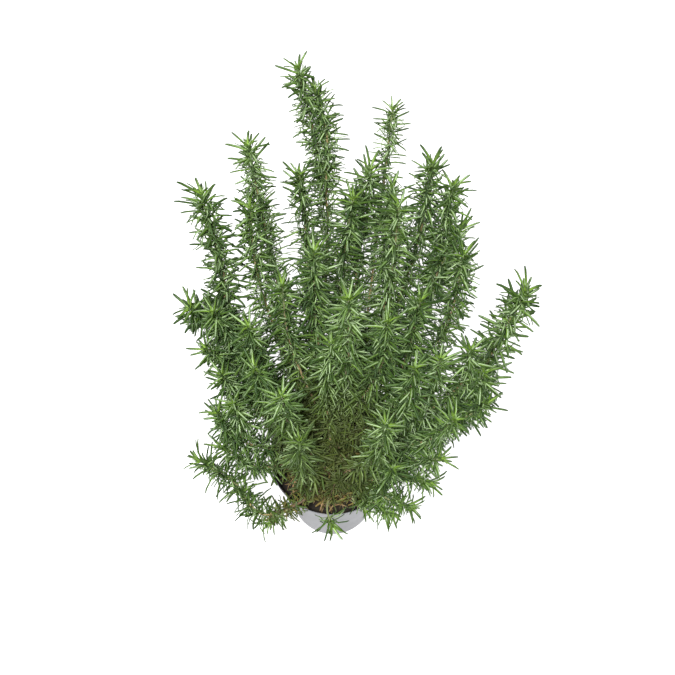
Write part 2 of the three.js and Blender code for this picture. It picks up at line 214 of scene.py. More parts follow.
# Each shoot in mm: name, what it grows from, how far along that, the points it bends through, its tip.
SHOOTS = [
    ("back_tall", "back_left", 1.0, [-5, 180, 310], [-30, 225, 455]),
    ("back_tall_side", "back_tall", 0.62, [-5, 205, 395], [-15, 220, 435]),
    ("back_inner", "back_left", 0.85, [-25, 150, 310], [-30, 165, 380]),
    ("back_left_high", "back_left", 1.0, [-55, 125, 265], [-75, 170, 415]),
    ("back_left_outer", "back_left", 0.7, [-100, 80, 200], [-105, 115, 300], [-120, 150, 370]),
    ("back_left_near", "back_left", 0.5, [-70, 105, 290], [-75, 135, 370]),
    ("back_right_high", "back_right", 1.0, [50, 180, 360], [55, 200, 430]),
    ("back_mid_right", "back_right", 0.9, [25, 135, 310], [35, 155, 400]),
    ("back_centre", "middle", 1.0, [10, 110, 305], [20, 130, 390]),
    ("comb", "back_right", 0.8, [55, 95, 305], [60, 115, 400]),
    ("comb_side", "comb", 0.62, [50, 120, 350], [55, 135, 400]),
    ("right_high", "back_right", 0.9, [80, 125, 315], [90, 150, 415]),
    ("right_high_outer", "back_right", 0.7, [95, 110, 265], [110, 140, 395]),
    ("right_high_low", "right_high_outer", 0.55, [105, 110, 315], [120, 125, 350]),
    ("right_upper", "right", 1.0, [110, 70, 265], [120, 90, 360]),
    ("right_far", "right", 1.0, [135, 25, 185], [155, 50, 245], [180, 75, 320]),
    ("right_mid", "right", 0.9, [125, 25, 230], [130, 30, 290]),
    ("right_inner", "right", 1.0, [90, 10, 225], [100, 15, 300]),
    ("right_out", "right", 0.7, [125, 5, 190], [150, 5, 230]),
    ("right_out_side", "right_out", 0.55, [140, 20, 215], [145, 25, 255]),
    ("front_right_high", "middle", 0.9, [65, -5, 230], [75, -5, 320]),
    ("front_right_rosette", "middle", 1.0, [45, 20, 270], [50, 25, 350]),
    ("front_right_low", "front", 1.0, [45, -35, 205], [50, -35, 265]),
    ("front_tall", "middle", 1.0, [15, 25, 270], [15, 30, 380]),
    ("middle_left", "middle", 1.0, [-15, 60, 290], [-15, 75, 385]),
    ("left_far", "left", 0.9, [-105, 80, 235], [-135, 75, 290]),
    ("left_far_near", "left", 1.0, [-95, 65, 240], [-110, 60, 310]),
    ("left_low_far", "left", 0.8, [-95, 50, 215], [-120, 45, 265]),
    ("left_mid", "left", 1.0, [-70, 35, 245], [-75, 35, 325]),
    ("left_front", "left", 1.0, [-60, 10, 225], [-70, 5, 300]),
    ("front_left_rosette", "front", 1.0, [-40, -20, 230], [-45, -25, 305]),
    ("left_low", "left", 0.7, [-90, -10, 175], [-110, -5, 230]),
    ("left_low_mid", "left", 0.9, [-85, 20, 205], [-105, 20, 260]),
    ("left_low_side", "left_low", 0.6, [-90, 0, 205], [-95, 0, 240]),
    ("trail_left", "front", 0.75, [-70, -68, 125], [-100, -38, 135], [-135, -20, 150]),
    ("trail_front_left", "front", 0.6, [-40, -60, 125], [-65, -75, 115]),
    ("left_olive", "left", 0.5, [-75, -25, 145], [-110, -15, 170]),
    ("front_left_low", "front", 0.9, [-30, -40, 185], [-30, -40, 240]),
    ("trail_front", "front", 0.6, [-5, -65, 130], [0, -85, 135]),
    ("trail_front_right", "front", 0.7, [20, -50, 125], [35, -65, 125]),
    ("trail_right_front", "front", 0.8, [45, -60, 130], [60, -65, 120]),
    ("trail_right", "right", 0.5, [55, -55, 135], [80, -60, 125]),
    ("right_low", "right", 0.6, [75, -40, 155], [100, -45, 150]),
    ("right_front_low", "right", 0.8, [80, -30, 170], [105, -40, 200]),
    ("right_front_mid", "right", 0.9, [95, -20, 200], [115, -25, 255]),
    ("front_right_short", "front", 0.9, [50, -40, 150], [60, -45, 190]),
    ("inner_left", "middle", 0.9, [-40, 55, 255], [-45, 70, 340]),
    ("inner_mid", "front", 0.9, [-5, 15, 220], [0, 20, 320]),
    ("inner_right", "right", 1.0, [70, 35, 260], [80, 50, 345]),
]

PARENTS = {name: parent for name, parent, *_ in SHOOTS}

# Large needles: pairs crowd in the bud, and they lengthen and open out below it.
CROWDING = 4.0
BUD_LENGTH = 14 * MM
LENGTHENING = 1.5 * MM
BUD_SPREAD = np.radians(20)
OPENING = 11 * MM
SPREAD_JITTER = np.radians(18)
ROLL_JITTER = np.radians(36)
LENGTH_SHARES = (0.74, 1.08)
CURLS = np.radians([5, 58]) + 0.01
BREADTHS = (0.85, 1.15)
TWIST = np.radians(35)
YOUTH_REACH = 6 * MM
YOUTH_FADE = 0.75
STEM_YOUTH_REACH = 36 * MM
SHOOT_TONES = (0.0, 0.25)

# Youngest needles in the middle of the tip
TIP_GAP = 0.1 * MM
BUD_NEEDLES = 8
BUD_PLACES = (TIP_GAP, 2 * MM)
BUD_ROLL = 0.3
BUD_SPREADS = np.radians([6, 26])
BUD_LENGTHS = (4 * MM, 9 * MM)
BUD_BREADTH = 0.75

# Old needles on bare branches: the shares of large and of small ones left at the soil and OLD_RISE over it.
OLD_RISE = 45 * MM
OLD_LARGE = (0.0, 0.8)
OLD_SMALL = (0.35, 0.85)
OLD_LENGTHS = (0.6, 0.95)
OLD_LEAST = 0.5
OLD_FROM = 4 * MM
OLD_SPURS = 0.8
OLD_DRYNESS = 0.25
OLIVE = 0.5
# Painted shade: the needles on the woody stems, inside the plant, have their tone cut to this share, so
# they are darker and have fewer painted glints
INNER_SHADE_TONE = 0.55
DEAD_SHARE = 0.06
DEAD_DRYNESS = (0.3, 0.5)

# Needles low inside the plant get painted shade: they are darker and more olive, up to SHADE_RISE over the
# soil and less and less between two distances from the plant's middle.
SHADE_RISE = 180 * MM
SHADE_REACH = (35 * MM, 70 * MM)
SHADE_TONE = 0.7
SHADE_OLIVE = 0.27

# Trailing shoots that have dropped their needles further below the tip than this
DROPPED = {
    "trail_front": 17 * MM,
    "trail_front_right": 24 * MM,
    "trail_front_left": 26 * MM,
    "trail_left": 165 * MM,
}

# Size of the needles on shoots that grow more weakly or strongly than the rest
VIGOUR = {
    "back_tall": 0.92,
    "back_tall_side": 0.88,
    "back_inner": 0.9,
    "back_left_high": 0.95,
    "back_left_outer": 1.15,
    "left_far": 1.15,
    "trail_left": 1.12,
    "back_right_high": 0.78,
    "comb_side": 0.9,
    "right_high": 0.95,
    "right_far": 1.25,
    "trail_front": 0.95,
    "trail_front_left": 0.8,
    "trail_front_right": 0.75,
}

# Share of their side shoots that sparser shoots have
SPARSE = {
    "back_right_high": 0.65,
    "right_far": 0.85,
    "inner_left": 0.45,
    "inner_mid": 0.7,
    "back_left_near": 0.75,
    "middle_left": 0.75,
    "left_mid": 0.8,
    "front_right_high": 0.8,
    "right_inner": 0.75,
}

# Side shoots in the angles over the large needles, with pairs of small needles.
SPUR_FROM = 8 * MM
SPUR_LENGTHENING = 40 * MM
SPUR_LENGTHS = np.array([3, 14]) * MM
SPUR_SPREADS = np.radians([28, 66])
SPUR_ROLL = np.radians(28)
SPUR_LEAST_GROWTH = 0.3
SPUR_RADIUS = 0.4 * MM
SPUR_RINGS = np.array([0.05, 0.9])
SPUR_TAPER = np.array([1.0, 0.7])
SPUR_YOUTH = 0.6
SPUR_PAIRS = np.array([0.3, 0.65, 1.0])
SMALL_LENGTHS = np.array([9, 18]) * MM
SMALL_SPREADS = np.radians([22, 68])
SMALL_ROLL = 0.5
SMALL_YOUTH = 0.35
SMALL_BREADTH = 0.78
SMALL_CURL = 1.6

# Twigs that fill the plant's inside
TWIG_STEP = 14 * MM
TWIG_LENGTHS = np.array([16, 40]) * MM
TWIG_SPREADS = np.radians([40, 80])
TWIG_LIFT = [0.0, 0.0, 0.9]
TWIG_SPURS = 0.5
TWIG_VIGOUR = 0.72
TWIG_YOUTH = 0.25
TWIG_FOOT = 2 * MM
TWIG_GAP = 3 * MM

# The soil in front of this place stays open to a look from the front and above, where a tip hides the soil
# that lies this share of its height behind it.
OPEN_SOIL = -22 * MM
HIDDEN_SHARE = 0.58

# Space kept to the pot, the soil and the plant's measured box, tested at three places along a needle
POT_MARGIN = 1.5 * MM
POT_TESTS = (0.3, 0.65, 1.0)
BOX_MARGIN = 1.0 * MM
LEAST_NEEDLE = 3 * MM
LEAST_SPUR = 2 * MM

# Section of a needle for a half width of 1, anticlockwise from its right margin as seen from its tip, with
# how far each point counts as upper side and as midline. Places and widths set its rings along the needle.
FULL_NEEDLE = {
    "across": np.array([1.0, 0.62, 0.0, -0.62, -1.0, -0.42, 0.42]),
    "height": np.array([-0.42, 0.48, 0.32, 0.48, -0.42, -0.36, -0.36]),
    "upper": np.array([0.35, 1.0, 1.0, 1.0, 0.35, 0.0, 0.0]),
    "midline": np.array([0.0, 0.0, 1.0, 0.0, 0.0, 0.0, 0.0]),
    "places": np.array([0.0, 0.12, 0.45, 0.82, 0.97]),
    "widths": np.array([0.50, 0.86, 1.0, 0.96, 0.66]),
}
SMALL_NEEDLE = {
    "across": np.array([1.0, 0.0, -1.0, 0.0]),
    "height": np.array([-0.35, 0.50, -0.35, -0.45]),
    "upper": np.array([0.5, 1.0, 0.5, 0.0]),
    "midline": np.array([0.0, 0.75, 0.0, 0.0]),
    "places": np.array([0.0, 0.4, 0.9]),
    "widths": np.array([0.62, 1.0, 0.82]),
}

# Stems draw from seeds of their own that count from 0, and shoots from seeds that count from SHOOT_SEEDS.
SEED = 7
SHOOT_SEEDS = 100
UP = np.array([0.0, 0.0, 1.0])


def unit(vectors):
    """Vectors with their length made 1."""
    return vectors / np.linalg.norm(vectors, axis=-1, keepdims=True)


def eased(t):
    """3t² − 2t³, which leaves 0 and reaches 1 without a bend."""
    return t * t * (3 - 2 * t)


def toward(first, second, angle):
    """Direction at an angle from a first unit vector towards a second: cos a · first + sin a · second."""
    angle = np.asarray(angle)[..., None]
    return np.cos(angle) * first + np.sin(angle) * second


def ring_angles(sides):
    """Angles that stand evenly round a ring."""
    return np.arange(sides) * TURN / sides


def polar(angle, radius, height):
    """Points round the vertical axis: (r cos a, r sin a, h)."""
    angle, radius, height = np.broadcast_arrays(angle, radius, height)
    return np.stack([radius * np.cos(angle), radius * np.sin(angle), height], axis=-1)


def inside_radius(height):
    """Inner radius of the pot's wall at a height."""
    bottom = BASE_RADIUS - WALL
    top = RIM_RADIUS - LIP_OVERHANG - WALL
    return bottom + (top - bottom) * height / POT_HEIGHT


# ---------------------------------------------------------------- lines


class Line:
    """A smooth line in space that can be read at any distance from its foot."""

    def __init__(self, points, across):
        steps = np.linalg.norm(np.diff(points, axis=0), axis=1)
        self.points = points
        self.distances = np.concatenate([[0.0], np.cumsum(steps)])
        self.length = self.distances[-1]
        self.across = across

    def at(self, distance):
        """Points at distances along the line."""
        columns = [np.interp(distance, self.distances, self.points[:, axis]) for axis in range(3)]
        return np.stack(columns, axis=-1)

    def directions(self, distance):
        """Unit vectors along the line and square to it: about in the plane that it bends in, and across."""
        ahead = self.at(np.minimum(distance + LINE_STEP, self.length))
        behind = self.at(np.maximum(distance - LINE_STEP, 0))
        along = unit(ahead - behind)
        inward = unit(np.cross(self.across, along))
        return along, inward, np.cross(along, inward)


def straight_line(foot, head):
    """The straight line from a foot to a head."""
    across = unit(np.cross(head - foot, [1.0, 0.0, 0.0]))
    count = int(np.linalg.norm(head - foot) / LINE_STEP) + 2
    return Line(np.linspace(foot, head, count), across)


def bent_line(*points):
    """The smooth curve through three points or more.

    Each stretch from p1 to p2 is the cubic that leaves and arrives with the slopes set by its
    neighbours, where the time between two points is the square root of their distance.
    """
    knots = [2 * points[0] - points[1], *points, 2 * points[-1] - points[-2]]
    stretches = [points[0][None]]
    for before, start, stop, after in zip(knots, knots[1:], knots[2:], knots[3:]):
        g0, g1, g2 = [np.sqrt(np.linalg.norm(b - a)) for a, b in
                      ((before, start), (start, stop), (stop, after))]
        leave = g1 * ((start - before) / g0 - (stop - before) / (g0 + g1) + (stop - start) / g1)
        arrive = g1 * ((stop - start) / g1 - (after - start) / (g1 + g2) + (after - stop) / g2)
        count = int(np.linalg.norm(stop - start) / LINE_STEP) + 2
        t = np.linspace(0, 1, count)[1:, None]
        step = stop - start
        cubic = t**3 * (leave + arrive - 2 * step) + t**2 * (3 * step - 2 * leave - arrive)
        stretches.append(start + t * leave + cubic)
    across = np.cross(points[1] - points[0], points[-1] - points[1])
    if np.linalg.norm(across) < LINE_STEP**2:
        across = np.cross(points[-1] - points[0], [0.0, 1.0, 0.0])
    return Line(np.vstack(stretches), unit(across))


def make_lines():
    """The line of every stem and shoot, by name."""
    lines = {name: straight_line(*np.array(ends) * MM) for name, ends in STEMS.items()}
    for name, parent, along, *points in SHOOTS:
        foot = lines[parent].at(along * lines[parent].length)
        lines[name] = bent_line(foot, *np.array(points) * MM)
    return lines


def leafy_from(lines):
    """How far from its foot each shoot turns from a bare branch into a leafy one.

    That is past the last place, within BRANCH_MOST of its length, where another line comes nearer than
    SHOOT_SPACE, and at least BRANCH_LEAST. A side shoot is leafy from its foot.
    """
    samples = {name: line.at(np.arange(0, line.length, SAMPLE)) for name, line in lines.items()}
    starts = {}
    for name, parent, *_ in SHOOTS:
        starts[name] = 0.0
        if parent in STEMS:
            kept = [other for other in lines if other != name and PARENTS.get(other) != name]
            others = np.vstack([samples[other] for other in kept])
            gaps = np.linalg.norm(samples[name][:, None] - others[None], axis=2).min(axis=1)
            distance = np.arange(len(gaps)) * SAMPLE
            near = (gaps < SHOOT_SPACE) & (distance < BRANCH_MOST * lines[name].length)
            starts[name] = max(BRANCH_LEAST, distance[near].max() + SAMPLE)
    return starts


def node_of(name):
    """The leafy shoot that a shoot is part of: its own, or the one that it grows from."""
    return name if PARENTS[name] in STEMS else node_of(PARENTS[name])


# ---------------------------------------------------------------- meshes


def ring_quads(here):
    """Quads between neighbouring rings, from the numbers of their points as skins, rings and sides."""
    ahead = np.roll(here, -1, axis=2)
    corners = [here[:, :-1], ahead[:, :-1], ahead[:, 1:], here[:, 1:]]
    return np.stack(corners, axis=-1).reshape(-1, 4)


class Skins:
    """Closed skins of one make, each a row of rings with a pole at each end.

    rings has the shape (skins, rings, sides, 3). Its sides run anticlockwise as seen looking back from
    the last pole. marks holds a number for each point, by name, for the materials to read.
    """

    def __init__(self, rings, first, last):
        self.rings = rings
        self.poles = np.concatenate([first, last])
        self.marks = {}

    def mark(self, name, on_rings, first, last):
        """Sets a mark on the rings and on the first and last poles."""
        body = np.broadcast_to(on_rings, self.rings.shape[:3]).ravel()
        ends = [np.broadcast_to(end, len(self.rings)) for end in (first, last)]
        self.marks[name] = np.concatenate([body, *ends])
        return self

    def mark_each(self, name, values):
        """Sets a mark to one value for each skin."""
        return self.mark(name, values[:, None, None], values, values)

    def points(self):
        """Every point: those of the rings, then the first poles, then the last poles."""
        return np.concatenate([self.rings.reshape(-1, 3), self.poles])

    def faces(self):
        """Quads between the rings, and triangles from the end rings to the poles."""
        skins, rings, sides = self.rings.shape[:3]
        here = np.arange(skins * rings * sides).reshape(skins, rings, sides)
        ahead = np.roll(here, -1, axis=2)
        first = here.size + np.arange(skins)[:, None] + np.zeros((1, sides), int)
        last = first + skins
        low = np.stack([first, ahead[:, 0], here[:, 0]], axis=-1).reshape(-1, 3)
        high = np.stack([last, here[:, -1], ahead[:, -1]], axis=-1).reshape(-1, 3)
        return ring_quads(here), np.concatenate([low, high])


def make_mesh(name, points, quads, triangles, marks):
    """A smooth mesh with the given points and faces, and its marks as attributes of the points."""
    mesh = bpy.data.meshes.new(name)
    mesh.vertices.add(len(points))
    mesh.vertices.foreach_set("co", points.astype(np.float32).ravel())
    mesh.loops.add(quads.size + triangles.size)
    mesh.loops.foreach_set("vertex_index", np.concatenate([quads.ravel(), triangles.ravel()]))
    mesh.polygons.add(len(quads) + len(triangles))
    starts = [np.arange(len(quads)) * 4, quads.size + np.arange(len(triangles)) * 3]
    mesh.polygons.foreach_set("loop_start", np.concatenate(starts))
    mesh.update(calc_edges=True)
    mesh.validate()
    mesh.shade_smooth()
    for mark, values in marks.items():
        layer = mesh.attributes.new(mark, "FLOAT", "POINT")
        layer.data.foreach_set("value", values.astype(np.float32))
    return mesh


def show(name, data):
    """Puts an object with the given mesh, light or camera into the scene."""
    made = bpy.data.objects.new(name, data)
    bpy.context.scene.collection.objects.link(made)
    return made


def add_piece(name, mesh, material, slot, *nodes):
    """Shows a mesh as a piece of the object, in place of the frame's plain nodes if any are named."""
    piece = show(name, mesh)
    mesh.materials.append(material)
    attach(piece, "root")
    if nodes:
        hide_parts(*nodes)
    return piece


def add_skins(name, families, material, slot, *nodes):
    """One piece made of several families of closed skins, with the marks that all of them carry."""
    points, quads, triangles, base = [], [], [], 0
    for family in families:
        more_quads, more_triangles = family.faces()
        quads.append(more_quads + base)
        triangles.append(more_triangles + base)
        points.append(family.points())
        base += len(points[-1])
    shared = [mark for mark in families[0].marks if all(mark in family.marks for family in families)]
    marks = {mark: np.concatenate([family.marks[mark] for family in families]) for mark in shared}
    joined = [np.concatenate(parts) for parts in (points, quads, triangles)]
    add_piece(name, make_mesh(name, *joined, marks), material, slot, *nodes)


def stem_skin(line, start, stop, radii, grid, relief=None):
    """Round skin along a line.

    P(a, s) = C(s) + (r(s) + f(a, s)) · (cos a · N(s) + sin a · B(s)), where r goes evenly from the
    first radius to the second, f is the relief, and N and B are the directions square to the line.
    """
    sides, step = grid
    count = max(2, int((stop - start) / step) + 1)
    distance = np.linspace(start, stop, count)
    along, inward, across = line.directions(distance)
    angle = ring_angles(sides)[None, :]
    radius = np.linspace(*radii, count)[:, None] + np.zeros((1, sides))
    if relief is not None:
        radius = radius + relief(angle, distance[:, None])
    square = toward(inward[:, None], across[:, None], angle)
    rings = line.at(distance)[:, None] + radius[..., None] * square
    ends = line.at(np.array([start, stop]))
    ends += np.array([[-1.0], [1.0]]) * np.array(radii)[:, None] * along[[0, -1]] / 3
    return Skins(rings[None], ends[:1], ends[1:])


def bent_midline(plan, place):
    """Point on a needle's midline at a place from 0 to 1 along it, and where its upper side faces there.

    The midline is an arc: its direction turns from the needle's aim away from its upper side by the
    curl, so the point is root + length · (sin(ct)/c · aim − (1 − cos(ct))/c · lift).
    """
    curl = plan["curl"][:, None]
    angle = curl * place
    out = (np.sin(angle) / curl)[..., None] * plan["aim"][:, None]
    down = ((1 - np.cos(angle)) / curl)[..., None] * plan["lift"][:, None]
    point = plan["root"][:, None] + plan["length"][:, None, None] * (out - down)
    return point, toward(plan["lift"][:, None], plan["aim"][:, None], angle)


def needle_skins(plan, width, form=FULL_NEEDLE):
    """Needles as closed skins.

    Each ring is the needle's section, scaled by the half width at its place and set square to the
    midline: P(i, v) = M(v) + w(v) · (x(i) · side + y(i) · upper(v)). The last pole is the needle's point.
    """
    point, upper = bent_midline(plan, form["places"][None, :])
    side = np.cross(plan["lift"], plan["aim"])[:, None, None]
    half = 0.5 * width * plan["breadth"][:, None] * form["widths"]
    sideways = form["across"][:, None] * side
    upwards = form["height"][:, None] * upper[:, :, None]
    rings = point[:, :, None] + half[:, :, None, None] * (sideways + upwards)
    tip, _ = bent_midline(plan, np.ones((1, 1)))
    skins = Skins(rings, plan["root"], tip[:, 0])
    fading = 1 - YOUTH_FADE * form["places"][None, :, None]
    youth = plan["youth"]
    skins.mark("youth", youth[:, None, None] * fading, youth, youth * (1 - YOUTH_FADE))
    skins.mark("outward", form["places"][None, :, None], 0.0, 1.0)
    skins.mark_each("tone", plan["tone"])
    skins.mark_each("dry", plan["dry"])
    skins.mark("upper", form["upper"], 0.5, 1.0)
    skins.mark("midline", form["midline"], 0.0, 0.0)
    return skins


def needle_families(large, small, sizes):
    """Skins of the large needles, and simpler ones of the small."""
    width = sizes.needle_width
    return [needle_skins(large, width), needle_skins(small, width, SMALL_NEEDLE)]


# ---------------------------------------------------------------- where the needles stand


def new_plan(root, aim, lift, breadths, rng):
    """Full-grown green needles, each with its root, direction and upper side."""
    count = len(root)
    return {
        "root": root,
        "aim": aim,
        "lift": lift,
        "breadth": rng.uniform(*breadths, count),
        "tone": rng.uniform(0, 1, count),
        "youth": np.zeros(count),
        "dry": np.zeros(count),
    }


def stand(root, along, inward, across, roll, spread, rng):
    """Root, aim and upper side of needles, or side shoots, on a stem with the given directions.

    Each leaves at its spread from the stem's direction, turned round it by its roll. Its upper side
    faces the stem's tip, give or take a twist.
    """
    out = toward(inward, across, roll)
    aim, lift = toward(along, out, spread), toward(-out, along, spread)
    lift = toward(lift, np.cross(lift, aim), rng.uniform(-1, 1, len(root)) * TWIST)
    plan = new_plan(root + 0.5 * SPUR_RADIUS * out, aim, lift, BREADTHS, rng)
    plan["curl"] = rng.uniform(*CURLS, len(root))
    return plan


def stand_below_tip(line, below, roll, spread, rng):
    """Needles or side shoots that stand at distances below a line's tip, younger the nearer to it."""
    along, inward, across = line.directions(line.length - below)
    plan = stand(line.at(line.length - below), along, inward, across, roll, spread, rng)
    plan["youth"] = np.exp(-below / YOUTH_REACH)
    return plan


def plan_pairs(line, below, sizes, rng):
    """The large needles of the pairs that stand at the given distances below a shoot's tip.

    Each pair is a quarter turn from the last. Needles lengthen and open out below the tip towards their
    full length and spread.
    """
    pair = np.repeat(np.arange(len(below)), 2)
    count = len(pair)
    place = np.maximum(below[pair] + rng.uniform(-1, 1, count) * MM, TIP_GAP)
    roll = pair * TURN / 4 + np.tile([0, TURN / 2], len(below))
    roll = roll + rng.uniform(-1, 1, count) * ROLL_JITTER
    spread = BUD_SPREAD + (sizes.needle_spread - BUD_SPREAD) * (1 - np.exp(-place / OPENING))
    spread = spread + rng.uniform(-1, 1, count) * SPREAD_JITTER
    length = BUD_LENGTH + (sizes.needle_length - BUD_LENGTH) * (1 - np.exp(-place / LENGTHENING))
    plan = stand_below_tip(line, place, roll, spread, rng)
    plan["length"] = length * rng.uniform(*LENGTH_SHARES, count)
    return plan, place, roll


def plan_spurs(line, place, roll, share, rng):
    """Short side shoots, each in the angle over a large needle and longer the older it is."""
    kept = (place > SPUR_FROM) & (rng.uniform(0, 1, len(place)) < share)
    place, roll = place[kept], roll[kept]
    count = len(place)
    roll = roll + rng.uniform(-1, 1, count) * SPUR_ROLL
    spurs = stand_below_tip(line, place - MM, roll, rng.uniform(*SPUR_SPREADS, count), rng)
    grown = (1 - np.exp((SPUR_FROM - place) / SPUR_LENGTHENING)) * rng.uniform(SPUR_LEAST_GROWTH, 1, count)
    spurs["length"] = SPUR_LENGTHS[0] + (SPUR_LENGTHS[1] - SPUR_LENGTHS[0]) * grown
    return spurs


def plan_spur_needles(spurs, rng):
    """Pairs of small needles along side shoots, each a quarter turn from the last."""
    pairs = len(SPUR_PAIRS)
    count = len(spurs["root"])
    owner = np.repeat(np.arange(count), 2 * pairs)
    where = np.tile(np.repeat(SPUR_PAIRS, 2), count)
    roll = np.tile(np.repeat(np.arange(pairs) * TURN / 4, 2), count)
    roll = roll + np.tile([0, TURN / 2], count * pairs) + rng.uniform(-SMALL_ROLL, SMALL_ROLL, len(owner))
    aim, lift = spurs["aim"][owner], spurs["lift"][owner]
    root = spurs["root"][owner] + (spurs["length"][owner] * where)[:, None] * aim
    spread = rng.uniform(*SMALL_SPREADS, len(owner))
    plan = stand(root, aim, lift, np.cross(aim, lift), roll, spread, rng)
    plan["length"] = rng.uniform(*SMALL_LENGTHS, len(owner))
    young = SMALL_YOUTH * where * rng.uniform(0, 1, len(owner))
    plan["youth"] = np.maximum(spurs["youth"][owner], young)
    plan["breadth"] *= SMALL_BREADTH
    plan["curl"] *= SMALL_CURL
    return plan


def spur_skins(spurs):
    """Stems of side shoots: four-sided, thinning to the tip along C(t) = root + t · length · aim."""
    place = SPUR_RINGS[None, :, None]
    middle = spurs["root"][:, None] + place * (spurs["length"][:, None] * spurs["aim"])[:, None]
    side = np.cross(spurs["aim"], spurs["lift"])[:, None, None]
    ring = toward(spurs["lift"][:, None, None], side, ring_angles(4))
    radius = SPUR_RADIUS * SPUR_TAPER[None, :, None, None]
    tip = spurs["root"] + spurs["length"][:, None] * spurs["aim"]
    skins = Skins(middle[:, :, None] + radius * ring, spurs["root"], tip)
    return skins.mark("youth", SPUR_YOUTH, SPUR_YOUTH, SPUR_YOUTH)


def plan_bud(line, rng):
    """The youngest needles, in the middle of the tip."""
    count = BUD_NEEDLES
    place = rng.uniform(*BUD_PLACES, count)
    roll = np.arange(count) * TURN / count + rng.uniform(-BUD_ROLL, BUD_ROLL, count)
    plan = stand_below_tip(line, place, roll, rng.uniform(*BUD_SPREADS, count), rng)
    plan["length"] = rng.uniform(*BUD_LENGTHS, count)
    plan["youth"] = np.ones(count)
    plan["breadth"] *= BUD_BREADTH
    return plan


def shade_inside(plan):
    """Painted shade: darker and more olive needles the lower and the nearer the plant's middle they stand.
    """
    x, y, z = plan["root"].T
    low = 1 - np.clip((z - SOIL_LEVEL) / SHADE_RISE, 0, 1)
    deep = np.interp(np.hypot(x, y), SHADE_REACH, (1, 0)) * low
    plan["tone"] *= 1 - SHADE_TONE * deep
    plan["youth"] *= 1 - deep
    plan["dry"] = SHADE_OLIVE * deep


def plan_shoot(line, leafy, share, vigour, sizes, rng):
    """Large needles, small needles and side shoots of one shoot that is leafy down to a distance below its
    tip, with the share of large needles that have a side shoot and the size that needles reach.

    Pair i stands d = step · (i − k(1 − e^(−i/k))) below the tip, so pairs crowd in the bud.
    """
    order = np.arange(1, int(leafy / sizes.pair_step + CROWDING) + 2)
    below = sizes.pair_step * (order - CROWDING * (1 - np.exp(-order / CROWDING)))
    below = below[below < leafy - SHOOT_RADII[0]]
    large, place, roll = plan_pairs(line, below, sizes, rng)
    spurs = keep_clear(plan_spurs(line, place, roll, share, rng), LEAST_SPUR)
    small = join_plans(plan_spur_needles(spurs, rng), plan_bud(line, rng))
    tone = rng.uniform(*SHOOT_TONES)
    for plan in (large, small):
        plan["length"] *= vigour
        plan["breadth"] *= vigour
        plan["tone"] = plan["tone"] * (1 - SHOOT_TONES[1]) + tone
        shade_inside(plan)
    return keep_clear(large), keep_clear(small), spurs


def plan_bare_branch(line, stop, sizes, rng):
    """Older needles on the bare lower part of a branch, opened wide and some of them dry.

    The nearer the soil, the more of them have dropped, the large ones first, and the more olive the rest.
    """
    distance = np.arange(OLD_FROM, stop, sizes.pair_step)
    large, place, roll = plan_pairs(line, line.length - distance, sizes, rng)
    spurs = keep_clear(plan_spurs(line, place, roll, OLD_SPURS, rng), LEAST_SPUR)
    small = plan_spur_needles(spurs, rng)
    for plan, shares in ((large, OLD_LARGE), (small, OLD_SMALL)):
        count = len(plan["root"])
        rise = np.clip((plan["root"][:, 2] - SOIL_LEVEL) / OLD_RISE, 0, 1)
        rise = np.where(np.hypot(*plan["root"][:, :2].T) > RIM_RADIUS, 1, rise)
        left = rng.uniform(0, 1, count) < shares[0] + (shares[1] - shares[0]) * rise
        plan["length"] *= rng.uniform(*OLD_LENGTHS, count) * left * (OLD_LEAST + (1 - OLD_LEAST) * rise)
        plan["dry"] = rng.uniform(0, OLD_DRYNESS, count) + OLIVE * (1 - rise)
        plan["dry"] += (rng.uniform(0, 1, count) < DEAD_SHARE) * rng.uniform(*DEAD_DRYNESS, count)
    return keep_clear(large), keep_clear(small), spurs


def plan_twig(line, sizes, rng):
    """A twig in the shade inside the plant: weaker, and hardly yellow at its tip."""
    plans = plan_shoot(line, line.length, TWIG_SPURS, TWIG_VIGOUR, sizes, rng)
    for plan in plans:
        plan["youth"] *= TWIG_YOUTH
    return plans


def join_plans(*plans):
    """One plan with the needles of several."""
    return {key: np.concatenate([plan[key] for plan in plans]) for key in plans[0]}


def make_twigs(parent, start, stop, rng):
    """Lines of the short twigs that stand on part of a stem or branch.

    A twig leaves at its spread and bends up halfway. One that would reach the pot's wall, or hang over
    the open soil at the front, is left out.
    """
    twigs = []
    for distance in np.arange(start, stop, TWIG_STEP) + rng.uniform(0, TWIG_STEP):
        spread, roll = rng.uniform(*TWIG_SPREADS), rng.uniform(0, TURN)
        length = rng.uniform(*TWIG_LENGTHS)
        along, inward, across = parent.directions(np.array([min(distance, parent.length)]))
        first = toward(along[0], toward(inward[0], across[0], roll), spread)
        second = unit(first + TWIG_LIFT)
        foot = parent.at(np.array([distance]))[0]
        bend = foot + 0.5 * length * first
        tip = bend + 0.5 * length * second
        reach = np.hypot(tip[0], tip[1])
        inside = foot[2] > SOIL_LEVEL + TWIG_FOOT and reach < inside_radius(SOIL_LEVEL) - TWIG_GAP
        over_open_soil = tip[1] + HIDDEN_SHARE * (tip[2] - SOIL_LEVEL) < OPEN_SOIL
        if inside and not over_open_soil:
            twigs.append(bent_line(foot, bend, tip))
    return twigs


